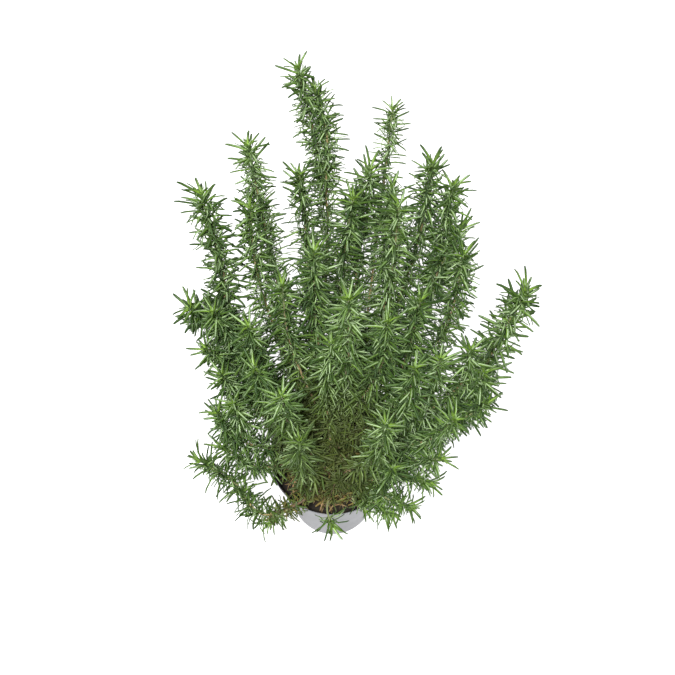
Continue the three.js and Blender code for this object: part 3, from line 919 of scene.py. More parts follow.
def keep_clear(plan, least=LEAST_NEEDLE):
    """Leaves out needles that would cross the pot or the soil, and shortens those that would reach past
    the plant's measured box."""
    tips, _ = bent_midline(plan, np.ones((1, 1)))
    reach = tips[:, 0] - plan["root"]
    reach = reach + np.where(reach < 0, -BOX_MARGIN, BOX_MARGIN)
    room = np.where(reach > 0, CAD_BOX[1] - plan["root"], plan["root"] - CAD_BOX[0])
    plan["length"] = plan["length"] * np.clip(room / np.abs(reach), 0, 1).min(axis=1)
    points, _ = bent_midline(plan, np.array(POT_TESTS)[None, :])
    height = points[..., 2]
    radius = np.hypot(points[..., 0], points[..., 1])
    in_wall = (radius > inside_radius(height) - POT_MARGIN) & (radius < RIM_RADIUS + POT_MARGIN)
    in_wall &= height < POT_HEIGHT + POT_MARGIN
    in_soil = (height < SOIL_LEVEL + POT_MARGIN) & (radius < RIM_RADIUS)
    clear = ~(in_wall | in_soil).any(axis=1) & (plan["length"] > least)
    return {key: values[clear] for key, values in plan.items()}


# ---------------------------------------------------------------- soil


def lumps(x, y, size, seed):
    """Random height from -1 to 1 with lumps of a size: heights at the corners of a square grid, blended
    across each square by 3t² − 2t³."""
    table = np.random.default_rng(seed).uniform(-1, 1, (LUMP_TABLE, LUMP_TABLE))
    cells = np.stack([x, y]) / size + LUMP_SHIFT
    corner = np.floor(cells).astype(int)
    t = eased(cells - corner)
    low, high = corner % LUMP_TABLE, (corner + 1) % LUMP_TABLE
    near = table[low[0], low[1]] * (1 - t[0]) + table[high[0], low[1]] * t[0]
    far = table[low[0], high[1]] * (1 - t[0]) + table[high[0], high[1]] * t[0]
    return near * (1 - t[1]) + far * t[1]


def soil_height(x, y):
    """Height of the soil: hollow in the middle and sunk at the wall, plus lumps of three sizes."""
    edge = SOIL_LEVEL - SOIL_EDGE_DROP
    share = np.hypot(x, y) / inside_radius(edge)
    heights = [SOIL_LEVEL - SOIL_HOLLOW, SOIL_LEVEL - SOIL_SHOULDER_DROP, edge]
    level = np.interp(share, [0, SOIL_SHOULDER, 1], heights)
    rough = sum(height * lumps(x, y, size, seed) for size, height, seed in SOIL_LUMPS)
    shrunk = SOIL_SHRINK * np.clip((share - SOIL_SHRINK_FROM) / (1 - SOIL_SHRINK_FROM), 0, 1) ** 2
    return level - shrunk + rough * np.clip((1 - share) / LUMP_FADE, LUMP_LEAST, 1)


def soil_skin():
    """Root ball with a rough top: rings up the side, then inwards over the top.

    P(a, r) = (r cos a, r sin a, h), where h climbs the pot's wall and is then the soil's height there.
    """
    angle = ring_angles(SOIL_SIDES)
    low = FLOOR + SOIL_GAP
    edge = SOIL_LEVEL - SOIL_EDGE_DROP
    side = np.linspace(low, edge - SOIL_SHRINK - MM, SOIL_SIDE_RINGS)[:, None]
    inward = np.linspace(1, SOIL_LAST_RING, SOIL_TOP_RINGS)[:, None] * (inside_radius(edge) - SOIL_GAP)
    wall = polar(angle, inside_radius(side) - SOIL_GAP, side)
    top = polar(angle, inward, 0.0)
    top[..., 2] = soil_height(top[..., 0], top[..., 1])
    first = np.array([[0, 0, low]])
    last = np.array([[0, 0, soil_height(np.zeros(1), np.zeros(1))[0]]])
    return Skins(np.concatenate([wall, top])[None], first, last)


def scatter(count, rng, reach=LITTER_REACH):
    """Places spread evenly over the soil, out to a share of its radius."""
    radius = np.sqrt(rng.uniform(0, 1, count)) * reach * inside_radius(SOIL_LEVEL - SOIL_EDGE_DROP)
    x, y, _ = polar(rng.uniform(0, TURN, count), radius, 0.0).T
    return x, y


def crumb_skins(count, radii, rng):
    """Irregular grains: flattened balls of three rings.

    P(a, s) = C + r · (cos s cos a, cos s sin a, f sin s), where r differs by up to a third from point to
    point and f is the flatness.
    """
    x, y = scatter(count, rng)
    size = rng.uniform(0, 1, count) ** 2 * (radii[1] - radii[0]) + radii[0]
    slope = CRUMB_SLOPES[None, :, None]
    angle = rng.uniform(0, TURN, count)[:, None, None] + ring_angles(CRUMB_SIDES)
    away = size[:, None, None] * rng.uniform(*CRUMB_SHARES, (count, len(CRUMB_SLOPES), CRUMB_SIDES))
    rings = polar(angle, away * np.cos(slope), CRUMB_FLATNESS * away * np.sin(slope))
    centre = np.stack([x, y, soil_height(x, y) + CRUMB_RISE * size], axis=-1)
    top = CRUMB_FLATNESS * size[:, None] * UP
    skins = Skins(centre[:, None, None] + rings, centre - top, centre + top)
    return skins.mark_each("tone", rng.uniform(0, 1, count))


def strand_skins(start, heading, length, radius, bow, wave, lift, rng):
    """Thin strands that lie over the soil.

    The midline goes from its start along its heading, swings sideways by bow · sin(πt) + wave · sin(3πt)
    and rises over the soil by lift · sin(πt). Its section has five sides and thins to both ends.
    """
    t = STRAND_PLACES[None, :]
    ahead = polar(heading, 1.0, 0.0)[:, None, :2]
    aside = polar(heading + TURN / 4, 1.0, 0.0)[:, None, :2]
    swing = bow[:, None] * np.sin(np.pi * t) + wave[:, None] * np.sin(3 * np.pi * t)
    flat = start[:, None] + (length[:, None] * t)[..., None] * ahead + swing[..., None] * aside
    reach = inside_radius(SOIL_LEVEL) - MM
    away = np.linalg.norm(flat, axis=-1, keepdims=True)
    flat = flat * np.minimum(1, reach / np.maximum(away, MM))
    height = soil_height(flat[..., 0], flat[..., 1]) + lift[:, None] * np.sin(np.pi * t) + radius[:, None]
    middle = np.concatenate([flat, height[..., None]], axis=-1)
    thick = radius[:, None] * (STRAND_END + (1 - STRAND_END) * np.sin(np.pi * t))
    side = unit(np.cross(np.gradient(middle, axis=1), UP))[:, :, None]
    ring = toward(side, UP, ring_angles(STRAND_SIDES))
    rings = middle[:, :, None] + thick[:, :, None, None] * ring
    skins = Skins(rings[:, :, ::-1], middle[:, 0], middle[:, -1])
    return skins.mark_each("tone", rng.uniform(0, 1, len(start)))


def loose_strands(count, kind, rng):
    """Strands scattered over the soil."""
    lengths, radii, most_lift = kind
    start = np.stack(scatter(count, rng), axis=-1)
    length = rng.uniform(*lengths, count)
    heading = rng.uniform(0, TURN, count)
    radius = rng.uniform(*radii, count)
    bow = length * rng.uniform(-STRAND_BOW, STRAND_BOW, count)
    wave = length * rng.uniform(-STRAND_WAVE, STRAND_WAVE, count)
    return strand_skins(start, heading, length, radius, bow, wave, rng.uniform(0, most_lift, count), rng)


def laid_strands(rows, rng):
    """Strands between listed places on the soil."""
    start, stop = [np.array([row[end] for row in rows]) * MM for end in (0, 1)]
    step = stop - start
    radius, bow, lift = np.array([row[2:] for row in rows]).T * MM
    heading = np.arctan2(step[:, 1], step[:, 0])
    return strand_skins(start, heading, np.linalg.norm(step, axis=1), radius, bow, 0 * bow, lift, rng)


def plan_blades(x, y, rise, tilts, lengths, curls, rng):
    """Thin blades that stand or lie on the soil, each tilted from upright with its upper side turned up."""
    root = np.stack([x, y, soil_height(x, y) + rise], axis=-1)
    tilt, length, curl = [rng.uniform(*limits, len(x)) for limits in (tilts, lengths, curls)]
    level = polar(rng.uniform(0, TURN, len(x)), 1.0, 0.0)
    plan = new_plan(root, toward(UP, level, tilt), toward(-level, UP, tilt), BLADE_BREADTHS, rng)
    return {**plan, "length": length, "curl": curl}


# ---------------------------------------------------------------- pot


def holed_sector(turn):
    """The part of the pot's flat underside round one drainage hole.

    In the sector, a runs from -1 to 1 round the pot and b from -1 to 1 outwards. The border's points B
    stand evenly along its four sides, and each has a point H on the hole's edge in its own direction.
    Ring w holds the points H + w(B − H).
    """
    across = np.linspace(-1, 1, ARC_STEPS + 1)
    outwards = np.linspace(-1, 1, SIDE_STEPS + 1)
    right, top = np.ones(SIDE_STEPS), np.ones(ARC_STEPS)
    a = np.concatenate([right, across[:0:-1], -right, across[:-1]])
    b = np.concatenate([outwards[:-1], top, outwards[:0:-1], -top])
    border = polar(turn + a * TURN / DRAIN_HOLES / 2, DRAIN_CIRCLE + b * DRAIN_BAND, 0.0)
    centre = polar(turn, DRAIN_CIRCLE, 0.0)
    edge = centre + DRAIN_RADIUS * unit(border - centre)
    return edge + HOLE_RINGS[:, None, None] * (border - edge)


def pot_profile():
    """Radius and height of the outside from the holed band to the lip's top edge: flat underside, round
    foot, straight tapered wall, and a lip that flares out by 3t² − 2t³ and then goes straight up."""
    turn = np.linspace(-np.pi / 2, 0, CURVE_STEPS + 1)
    foot = np.stack([np.cos(turn) - 1, np.sin(turn) + 1], axis=-1) * FOOT_ROUNDING + [BASE_RADIUS, 0]
    flare_top = POT_HEIGHT - LIP_STRAIGHT
    flare_low = flare_top - LIP_FLARE
    height = np.linspace(2 * FOOT_ROUNDING, flare_low, WALL_RINGS)
    wall = np.stack([inside_radius(height) + WALL, height], axis=-1)
    t = np.linspace(0, 1, CURVE_STEPS + 1)[1:]
    low = inside_radius(flare_low) + WALL
    flare = np.stack([low + (RIM_RADIUS - low) * eased(t), flare_low + t * LIP_FLARE], axis=-1)
    start = [[DRAIN_CIRCLE + DRAIN_BAND, 0.0]]
    return np.vstack([start, foot, wall, flare, [[RIM_RADIUS, POT_HEIGHT]]])


def pot_mesh():
    """The pot's outside as one sheet: a disc, six holed sectors and a turned wall, joined where they
    meet. Its wall gets its thickness inwards."""
    sector = TURN / DRAIN_HOLES
    within = np.linspace(-0.5, 0.5, ARC_STEPS + 1)[:-1] * sector
    angles = (np.arange(DRAIN_HOLES)[:, None] * sector + within).ravel()
    discs = np.linspace(0, DRAIN_CIRCLE - DRAIN_BAND, DISC_RINGS)[:, None]
    profile = pot_profile()
    grids = [polar(angles, discs, 0.0), polar(angles, profile[:, :1], profile[:, 1:])]
    grids += [holed_sector(hole * sector) for hole in range(DRAIN_HOLES)]
    points, quads, base = [], [], 0
    for grid in grids:
        points.append(grid.reshape(-1, 3))
        numbers = base + np.arange(len(points[-1]))
        quads.append(ring_quads(numbers.reshape(1, *grid.shape[:2])))
        base += len(numbers)
    mesh = bpy.data.meshes.new("nursery_pot")
    mesh.from_pydata(np.concatenate(points).tolist(), [], np.concatenate(quads).tolist())
    sheet = bmesh.new()
    sheet.from_mesh(mesh)
    bmesh.ops.remove_doubles(sheet, verts=sheet.verts, dist=1e-6)
    bmesh.ops.recalc_face_normals(sheet, faces=sheet.faces)
    sheet.faces.ensure_lookup_table()
    lowest = min(sheet.faces, key=lambda face: face.calc_center_median().length)
    if lowest.normal.z > 0:
        bmesh.ops.reverse_faces(sheet, faces=sheet.faces)
    sheet.to_mesh(mesh)
    sheet.free()
    mesh.shade_smooth()
    return mesh


# ---------------------------------------------------------------- materials


def math_node(operation, swapped=False):
    """A method of Value that adds a Math node for it and another value or number."""
    def add(self, other):
        first, second = (other, self) if swapped else (self, other)
        return self.recipe.node("Math", {0: first, 1: second}, operation=operation)

    return add


class Value:
    """A socket's value. Arithmetic on it adds Math nodes to its material."""

    def __init__(self, recipe, socket):
        self.recipe = recipe
        self.socket = socket

    __add__ = __radd__ = math_node("ADD")
    __sub__ = math_node("SUBTRACT")
    __rsub__ = math_node("SUBTRACT", swapped=True)
    __mul__ = __rmul__ = math_node("MULTIPLY")
    __pow__ = math_node("POWER")
    __rpow__ = math_node("POWER", swapped=True)
    __gt__ = math_node("GREATER_THAN")
    __lt__ = math_node("LESS_THAN")

    def between(self, low, high):
        """Goes smoothly from 0 to 1 as the value goes from low to high."""
        limits = {"Value": self, "From Min": low, "From Max": high}
        return self.recipe.node("MapRange", limits, interpolation_type="SMOOTHSTEP")


class Recipe:
    """A procedural material under construction."""

    def __init__(self, name):
        self.material = bpy.data.materials.new(name)
        self.material.use_nodes = True
        self.tree = self.material.node_tree
        self.shader = self.tree.nodes["Principled BSDF"]
        self.place = self.node("TexCoord", output="Object")

    def node(self, kind, inputs=None, output=0, **settings):
        """Adds a node, gives it its settings and then its inputs, and returns one of its outputs."""
        made = self.tree.nodes.new("ShaderNode" + kind)
        for setting, value in settings.items():
            setattr(made, setting, value)
        for key, value in (inputs or {}).items():
            self.put(made.inputs[key], value)
        return Value(self, made.outputs[output])

    def put(self, socket, value):
        """Links a value to a socket, or sets the socket to a number or colour."""
        if isinstance(value, Value):
            self.tree.links.new(value.socket, socket)
        else:
            socket.default_value = value

    def mark(self, name):
        """A mark of the points of the mesh."""
        return self.node("Attribute", output="Fac", attribute_name=name)

    def height_and_radius(self):
        """Height over the ground, and distance from the vertical axis."""
        parts = {"Vector": self.place}
        x, y, z = [self.node("SeparateXYZ", parts, output=axis) for axis in "XYZ"]
        return z, (x * x + y * y) ** 0.5

    def noise(self, per_metre, detail=3.0, vector=None):
        """Noise from 0 to 1 in blobs, so many to a metre."""
        inputs = {"Vector": vector or self.place, "Scale": per_metre, "Detail": detail}
        return self.node("TexNoise", inputs)

    def mix(self, factor, first, second):
        """A colour that goes from the first to the second as the factor goes from 0 to 1."""
        inputs = {0: factor, 6: solid(first), 7: solid(second)}
        return self.node("Mix", inputs, output=2, data_type="RGBA")

    def bump(self, height, strength, distance):
        """Normals of a surface that a height from 0 to 1 raises by up to a distance in metres."""
        inputs = {"Height": height, "Strength": strength, "Distance": distance}
        return self.node("Bump", inputs)

    def finish(self, **sockets):
        """Sets or links the shader's sockets and returns the material."""
        for name, value in sockets.items():
            self.put(self.shader.inputs[name.replace("_", " ")], value)
        return self.material


def solid(colour):
    """A plain colour with its alpha, or a value as it is."""
    return colour if isinstance(colour, Value) else (*colour, 1.0)


def needle_material(colours, name="rosemary_needle"):
    """Leathery green that darkens towards the needle's end as painted shade, paler along the midline with a
    painted glint on some needles, grey and felted below, yellow-green when young."""
    recipe = Recipe(name)
    youth, tone, dry = recipe.mark("youth"), recipe.mark("tone"), recipe.mark("dry")
    upper, midline, outward = recipe.mark("upper"), recipe.mark("midline"), recipe.mark("outward")
    mottle = recipe.noise(420, 4.0)
    grain = recipe.noise(2600, 2.0)
    shade = (tone * 0.95 + mottle * 0.5 - 0.22).between(0.0, 1.0)
    green = recipe.mix(shade, colours.needle_dark, colours.needle_light)
    green = recipe.mix(youth.between(0.12, 0.95), green, colours.needle_young)
    under = (1 - upper).between(0.15, 1.0)
    green = recipe.mix(under * 0.6, green, colours.needle_under)
    # Painted shade: the needle darkens towards its end, as needle ends seen against the light do
    green = recipe.mix(outward.between(0.2, 1.1) * 0.8, green, colours.needle_end_shade_and_grain)
    # Painted glint: on some needles the midline turns much paler, as a highlight would make it; a faint
    # pale line stays on all of them
    painted_glint = (tone + mottle * 0.8).between(0.75, 1.3) * (1 - outward * 0.4)
    green = recipe.mix(midline * (0.1 + painted_glint * 0.8), green, colours.needle_midline_and_glint)
    green = recipe.mix(dry, green, colours.needle_dry)
    # The fine grain darkens towards the same dark green
    green = recipe.mix((grain - 0.5) * 0.5, green, colours.needle_end_shade_and_grain)
    return recipe.finish(
        Base_Color=green,
        Roughness=0.3 + mottle * 0.16 + under * 0.3,
        Normal=recipe.bump(grain, 0.25, 0.0002),
        Specular_IOR_Level=0.11,
    )


def young_stem_material(colours):
    """Pale green and finely hairy near the tip, with streaks of tan and brown below it."""
    recipe = Recipe("young_stem")
    youth = recipe.mark("youth")
    streak = recipe.noise(900, 3.0)
    lower = recipe.mix(streak, colours.stem_old, colours.stem_tan)
    colour = recipe.mix((youth + streak * 0.3).between(0.25, 0.8), lower, colours.stem_young)
    return recipe.finish(
        Base_Color=colour,
        Roughness=0.55 + streak * 0.2,
        Normal=recipe.bump(streak, 0.4, 0.0003),
        Sheen_Weight=0.25,
    )


def bark_material(colours):
    """Thin flaking bark: grey-brown plates with reddish wood showing between them."""
    recipe = Recipe("flaking_bark")
    stretched = recipe.node("Mapping", {"Vector": recipe.place, "Scale": (1.0, 1.0, 0.3)})
    plates = recipe.noise(520, 4.0, stretched)
    fine = recipe.noise(2400, 3.0, stretched)
    cracks = plates.between(0.38, 0.62)
    colour = recipe.mix(cracks, colours.bark_red, colours.bark_grey)
    colour = recipe.mix(fine.between(0.45, 0.75) * 0.5, colour, colours.stem_tan)
    return recipe.finish(
        Base_Color=colour,
        Roughness=0.75 + fine * 0.2,
        Normal=recipe.bump(plates + fine * 0.4, 0.7, 0.0006),
    )


def pot_material(colours):
    """Two-ply plastic: light grey outside, black inside, with a fine mould grain and dust inside."""
    recipe = Recipe("pot_plastic")
    z, away = recipe.height_and_radius()
    slope = (RIM_RADIUS - LIP_OVERHANG - BASE_RADIUS) / POT_HEIGHT
    middle_of_wall = z * slope + (BASE_RADIUS - 0.5 * WALL)
    in_lip = z > (POT_HEIGHT - LIP_STRAIGHT - 0.4 * LIP_FLARE)
    middle_of_wall = middle_of_wall + in_lip * (LIP_OVERHANG + 0.1 * MM)
    inside = (middle_of_wall > away) * (z > (0.5 * WALL))
    cloud = recipe.noise(26, 2.0)
    grain = recipe.noise(1500, 2.0)
    dust = recipe.noise(130, 4.0).between(0.5, 0.72) * z.between(0.6 * POT_HEIGHT, POT_HEIGHT)
    outer = recipe.mix(cloud.between(0.3, 0.7), colours.pot_outside, colours.pot_outside_shade)
    inner = recipe.mix(dust * 0.5, colours.pot_inside, colours.soil_light)
    return recipe.finish(
        Base_Color=recipe.mix(inside, outer, inner),
        Roughness=0.36 + grain * 0.12 + inside * 0.12,
        Normal=recipe.bump(grain, 0.12, 0.0002),
        Specular_IOR_Level=0.12,
    )


def soil_material(colours):
    """Moist peat: dark crumbs, lighter fibres and a thin olive bloom, and painted shade of the pot's wall
    that makes it nearly black near the wall.
    """
    recipe = Recipe("moist_peat")
    crumbs = recipe.noise(380, 5.0)
    flecks = recipe.noise(1300, 3.0)
    bloom = recipe.noise(70, 3.0).between(0.48, 0.68)
    colour = recipe.mix(crumbs.between(0.35, 0.7), colours.soil_dark, colours.soil_light)
    colour = recipe.mix(flecks.between(0.6, 0.75) * 0.6, colour, colours.fibre_tan)
    colour = recipe.mix(bloom * 0.45, colour, colours.moss)
    _, away = recipe.height_and_radius()
    # Painted shade of the pot's wall, nearly black near it
    colour = recipe.mix(away.between(WALL_SHADE_FROM, WALL_SHADE_FULL) * 0.9, colour, colours.soil_wall_shade)
    return recipe.finish(
        Base_Color=colour,
        Roughness=0.86 + flecks * 0.12,
        Normal=recipe.bump(crumbs + flecks * 0.5, 0.8, 0.001),
    )


def grain_material(name, dark, light, rough):
    """Grains or strands between two colours, each with a shade of its own."""
    recipe = Recipe(name)
    mottle = recipe.noise(900, 3.0)
    colour = recipe.mix(recipe.mark("tone") * 0.8 + mottle * 0.3, dark, light)
    return recipe.finish(
        Base_Color=colour,
        Roughness=rough + mottle * 0.15,
        Normal=recipe.bump(mottle, 0.5, 0.0004),
    )


def floor_material():
    """Pale matt floor that is nearly white in the light."""
    recipe = Recipe("pale_studio_floor")
    cloud = recipe.noise(3, 2.0)
    colour = recipe.mix(cloud, (0.54, 0.54, 0.54), (0.58, 0.58, 0.58))
    return recipe.finish(
        Base_Color=colour,
        Roughness=0.9 + cloud * 0.05,
        Emission_Color=(1.0, 1.0, 1.0, 1.0),
        Emission_Strength=0.85,
    )


# ---------------------------------------------------------------- settings


def length_setting(name, description, default):
    return bpy.props.FloatProperty(
        name=name, description=description, default=default, min=0.0, unit="LENGTH", precision=5
    )


def count_setting(name, description, default):
    return bpy.props.IntProperty(
        name=name, description=description, default=default, min=1, subtype="UNSIGNED"
    )


def colour_setting(name, description, default):
    return bpy.props.FloatVectorProperty(
        name=name, description=description, default=default, subtype="COLOR", size=3, min=0.0, max=1.0
    )


class PlantSizes(bpy.types.PropertyGroup):
    """Sizes of the foliage and litter."""

    needle_length: length_setting("Needle length", "Length of a full-grown needle", 25 * MM)
    needle_width: length_setting("Needle width", "Width of a full-grown needle", 2.3 * MM)
    pair_step: length_setting("Pair spacing", "Distance between two pairs of needles", 4.3 * MM)
    needle_spread: bpy.props.FloatProperty(
        name="Needle spread",
        description="Angle between a full-grown needle and its shoot",
        default=np.radians(70),
        subtype="ANGLE",
    )
    side_shoots: bpy.props.FloatProperty(
        name="Side shoots",
        description="Share of the large needles with a short side shoot over them",
        default=1.0,
        min=0.0,
        max=1.0,
        subtype="FACTOR",
    )
    crumbs: count_setting("Crumbs", "Number of loose crumbs of soil", 1500)
    fibres: count_setting("Fibres", "Number of loose wood fibres", 360)
    moss: count_setting("Moss", "Number of moss threads, before those between the patches go", 2200)


class PlantColours(bpy.types.PropertyGroup):
    """Colours of the plant, the soil and the pot."""

    needle_dark: colour_setting("Needle, dark", "Shaded side of the range of greens", (0.016, 0.050, 0.004))
    needle_light: colour_setting("Needle, light", "Light side of the range of greens", (0.20, 0.355, 0.050))
    # Dark green of the painted shade towards a needle's end, also used for its grain
    needle_end_shade_and_grain: colour_setting("Needle end", "Dark green towards a needle's end", (0.016, 0.045, 0.007))
    needle_young: colour_setting("Needle, young", "Yellow-green of the tips", (0.25, 0.42, 0.045))
    # Pale midline, and the painted glint that brightens it on some needles
    needle_midline_and_glint: colour_setting("Needle midline", "Pale line along a needle, and its painted glint", (0.60, 0.71, 0.52))
    needle_under: colour_setting("Needle underside", "Grey-green felt", (0.185, 0.30, 0.078))
    needle_dry: colour_setting("Dry needle", "Brown of a dead needle", (0.24, 0.16, 0.05))
    stem_young: colour_setting("Young stem", "Pale green", (0.20, 0.25, 0.09))
    stem_tan: colour_setting("Tan stem", "Tan between green and brown", (0.43, 0.34, 0.15))
    stem_old: colour_setting("Older stem", "Warm brown", (0.23, 0.16, 0.065))
    bark_grey: colour_setting("Bark", "Grey-brown plates", (0.15, 0.11, 0.075))
    bark_red: colour_setting("Bark, red", "Reddish wood between the plates", (0.13, 0.070, 0.035))
    pot_outside: colour_setting("Pot outside", "Light grey with a lilac tint", (0.235, 0.237, 0.250))
    pot_outside_shade: colour_setting("Pot outside, shade", "Slightly darker grey", (0.205, 0.207, 0.218))
    pot_inside: colour_setting("Pot inside", "Black", (0.012, 0.012, 0.014))
    soil_dark: colour_setting("Soil, dark", "Moist peat", (0.022, 0.012, 0.008))
    # Painted shade of the pot's wall on the soil near it
    soil_wall_shade: colour_setting("Soil, painted wall shade", "Painted shade of the wall on the peat near it", (0.008, 0.006, 0.004))
    soil_light: colour_setting("Soil, light", "Drier peat", (0.11, 0.065, 0.035))
    fibre_tan: colour_setting("Fibre", "Tan wood fibre", (0.45, 0.32, 0.15))
    fibre_red: colour_setting("Fibre, red", "Reddish wood fibre", (0.29, 0.165, 0.075))
    moss: colour_setting("Moss", "Olive moss", (0.13, 0.155, 0.022))
    moss_light: colour_setting("Moss, light", "Paler olive threads of moss", (0.25, 0.26, 0.05))
    perlite: colour_setting("Perlite", "White grains", (0.75, 0.74, 0.70))
    perlite_beige: colour_setting("Perlite, beige", "Stained grains", (0.5, 0.48, 0.43))


# ---------------------------------------------------------------- operators


def settings():
    """The sizes and colours that the panel shows."""
    scene = bpy.context.scene
    return scene.rosemary_sizes, scene.rosemary_colours


class ROSEMARY_OT_pot(bpy.types.Operator):
    """Makes the two-ply nursery pot with its drainage holes."""

    bl_idname = "rosemary.pot"
    bl_label = "Nursery pot"

    def execute(self, context):
        _, colours = settings()
        pot = add_piece("nursery_pot", pot_mesh(), pot_material(colours), "pot_plastic", "pot")
        wall = pot.modifiers.new("wall", "SOLIDIFY")
        wall.thickness = WALL
        wall.offset = -1.0
        edges = pot.modifiers.new("edges", "BEVEL")
        edges.width = EDGE_ROUNDING
        edges.segments = EDGE_SEGMENTS
        edges.limit_method = "ANGLE"
        edges.angle_limit = EDGE_ANGLE
        return {"FINISHED"}


class ROSEMARY_OT_soil(bpy.types.Operator):
    """Makes the root ball and what lies on it: crumbs, perlite, fibres, moss and fallen needles."""

    bl_idname = "rosemary.soil"
    bl_label = "Soil and litter"

    def execute(self, context):
        sizes, colours = settings()
        rng = np.random.default_rng(SEED)
        slot = "potting_soil"
        add_skins("root_ball", [soil_skin()], soil_material(colours), slot, "soil")
        peat = grain_material("peat_crumb", colours.soil_dark, colours.soil_light, 0.8)
        add_skins("soil_crumbs", [crumb_skins(sizes.crumbs, CRUMB_RADII, rng)], peat, slot)
        white = grain_material("perlite", colours.perlite, colours.perlite_beige, 0.7)
        add_skins("perlite_grains", [crumb_skins(PERLITE_GRAINS, PERLITE_RADII, rng)], white, slot)
        wood = grain_material("wood_fibre", colours.fibre_red, colours.fibre_tan, 0.7)
        fine = loose_strands(sizes.fibres, FINE_FIBRES, rng)
        thick = loose_strands(THICK_COUNT, THICK_FIBRES, rng)
        add_skins("soil_fibres", [fine, thick, laid_strands(LAID_FIBRES, rng)], wood, slot)
        self.add_moss(sizes, colours, rng)
        self.add_fallen_needles(sizes, colours, rng)
        return {"FINISHED"}

    def add_moss(self, sizes, colours, rng):
        x, y = scatter(sizes.moss, rng)
        x = x + MOSS_SHIFT
        patch = lumps(x, y, MOSS_PATCH, MOSS_SEED) + MOSS_FRAY * rng.uniform(-1, 1, sizes.moss)
        x, y = x[patch > MOSS_FROM], y[patch > MOSS_FROM]
        plan = plan_blades(x, y, 0.0, MOSS_TILTS, MOSS_LENGTHS, MOSS_CURLS, rng)
        plan["youth"] = rng.uniform(0, MOSS_YOUTH, len(x))
        olive = grain_material("olive_moss", colours.moss, colours.moss_light, 0.6)
        skins = needle_skins(plan, MOSS_WIDTH, SMALL_NEEDLE)
        add_skins("moss_threads", [skins], olive, "potting_soil")

    def add_fallen_needles(self, sizes, colours, rng):
        x, y = scatter(FALLEN_NEEDLES, rng, FALLEN_REACH)
        lengths = sizes.needle_length * FALLEN_LENGTHS
        plan = plan_blades(x, y, FALLEN_RISE, FALLEN_TILTS, lengths, FALLEN_CURLS, rng)
        plan["dry"] = rng.uniform(*FALLEN_DRYNESS, len(x))
        skins = needle_skins(plan, sizes.needle_width)
        add_skins("fallen_needles", [skins], needle_material(colours, "fallen_needle"), "potting_soil")


class ROSEMARY_OT_woody_stems(bpy.types.Operator):
    """Makes each woody stem with its bare branches and twigs, and the needles inside the plant."""

    bl_idname = "rosemary.woody_stems"
    bl_label = "Woody stems"

    def execute(self, context):
        sizes, colours = settings()
        lines = make_lines()
        starts = leafy_from(lines)
        bark = bark_material(colours)
        green = needle_material(colours, "old_needle")
        for index, name in enumerate(STEMS):
            rng = np.random.default_rng([SEED, index])
            trunk = lines[name]
            barks, foliage = [self.trunk(trunk, index)], []
            twigs = make_twigs(trunk, 0, trunk.length, rng)
            for shoot, parent, *_ in SHOOTS:
                if parent == name:
                    line, stop = lines[shoot], starts[shoot]
                    barks.append(self.branch(line, stop, index))
                    twigs += make_twigs(line, 0, stop, rng)
                    foliage.append(plan_bare_branch(line, stop, sizes, rng))
            for twig in twigs:
                barks.append(stem_skin(twig, 0, twig.length, TWIG_RADII, TWIG_GRID))
                foliage.append(plan_twig(twig, sizes, rng))
            large, small, spurs = [join_plans(*plans) for plans in zip(*foliage)]
            # Painted shade inside the plant: darker needles
            large["tone"] *= INNER_SHADE_TONE
            small["tone"] *= INNER_SHADE_TONE
            barks.append(spur_skins(spurs))
            add_skins(f"bark_{name}", barks, bark, "woody_bark", f"woody_stem_{name}")
            needles = needle_families(large, small, sizes)
            add_skins(f"inner_needles_{name}", needles, green, "rosemary_leaf")
        return {"FINISHED"}

    def trunk(self, line, phase):
        """Trunk with furrows that wander along it, and a knobbly swelling every centimetre or so."""
        def relief(angle, distance):
            wander = phase + 3 * np.sin(distance / TRUNK_WANDER)
            furrows = [np.sin(5 * angle + wander), np.sin(11 * angle - 2 * wander)]
            knobs = KNOB_HEIGHT * np.sin(distance / KNOB_STEP + np.sin(angle + phase))
            return TRUNK_FURROWS[0] * furrows[0] + TRUNK_FURROWS[1] * furrows[1] + knobs

        return stem_skin(line, 0, line.length, TRUNK_RADII, TRUNK_GRID, relief)

    def branch(self, line, stop, phase):
        """Thinner branch with shallow furrows, and a ring of leaf scars every few millimetres."""
        def relief(angle, distance):
            furrows = BRANCH_FURROW * np.sin(4 * angle + phase + 2 * np.sin(distance / BRANCH_WANDER))
            scars = SCAR_HEIGHT * np.maximum(0, np.sin(distance * TURN / JOINT_STEP)) ** 4
            return furrows + scars

        return stem_skin(line, 0, stop, BRANCH_RADII, BRANCH_GRID, relief)


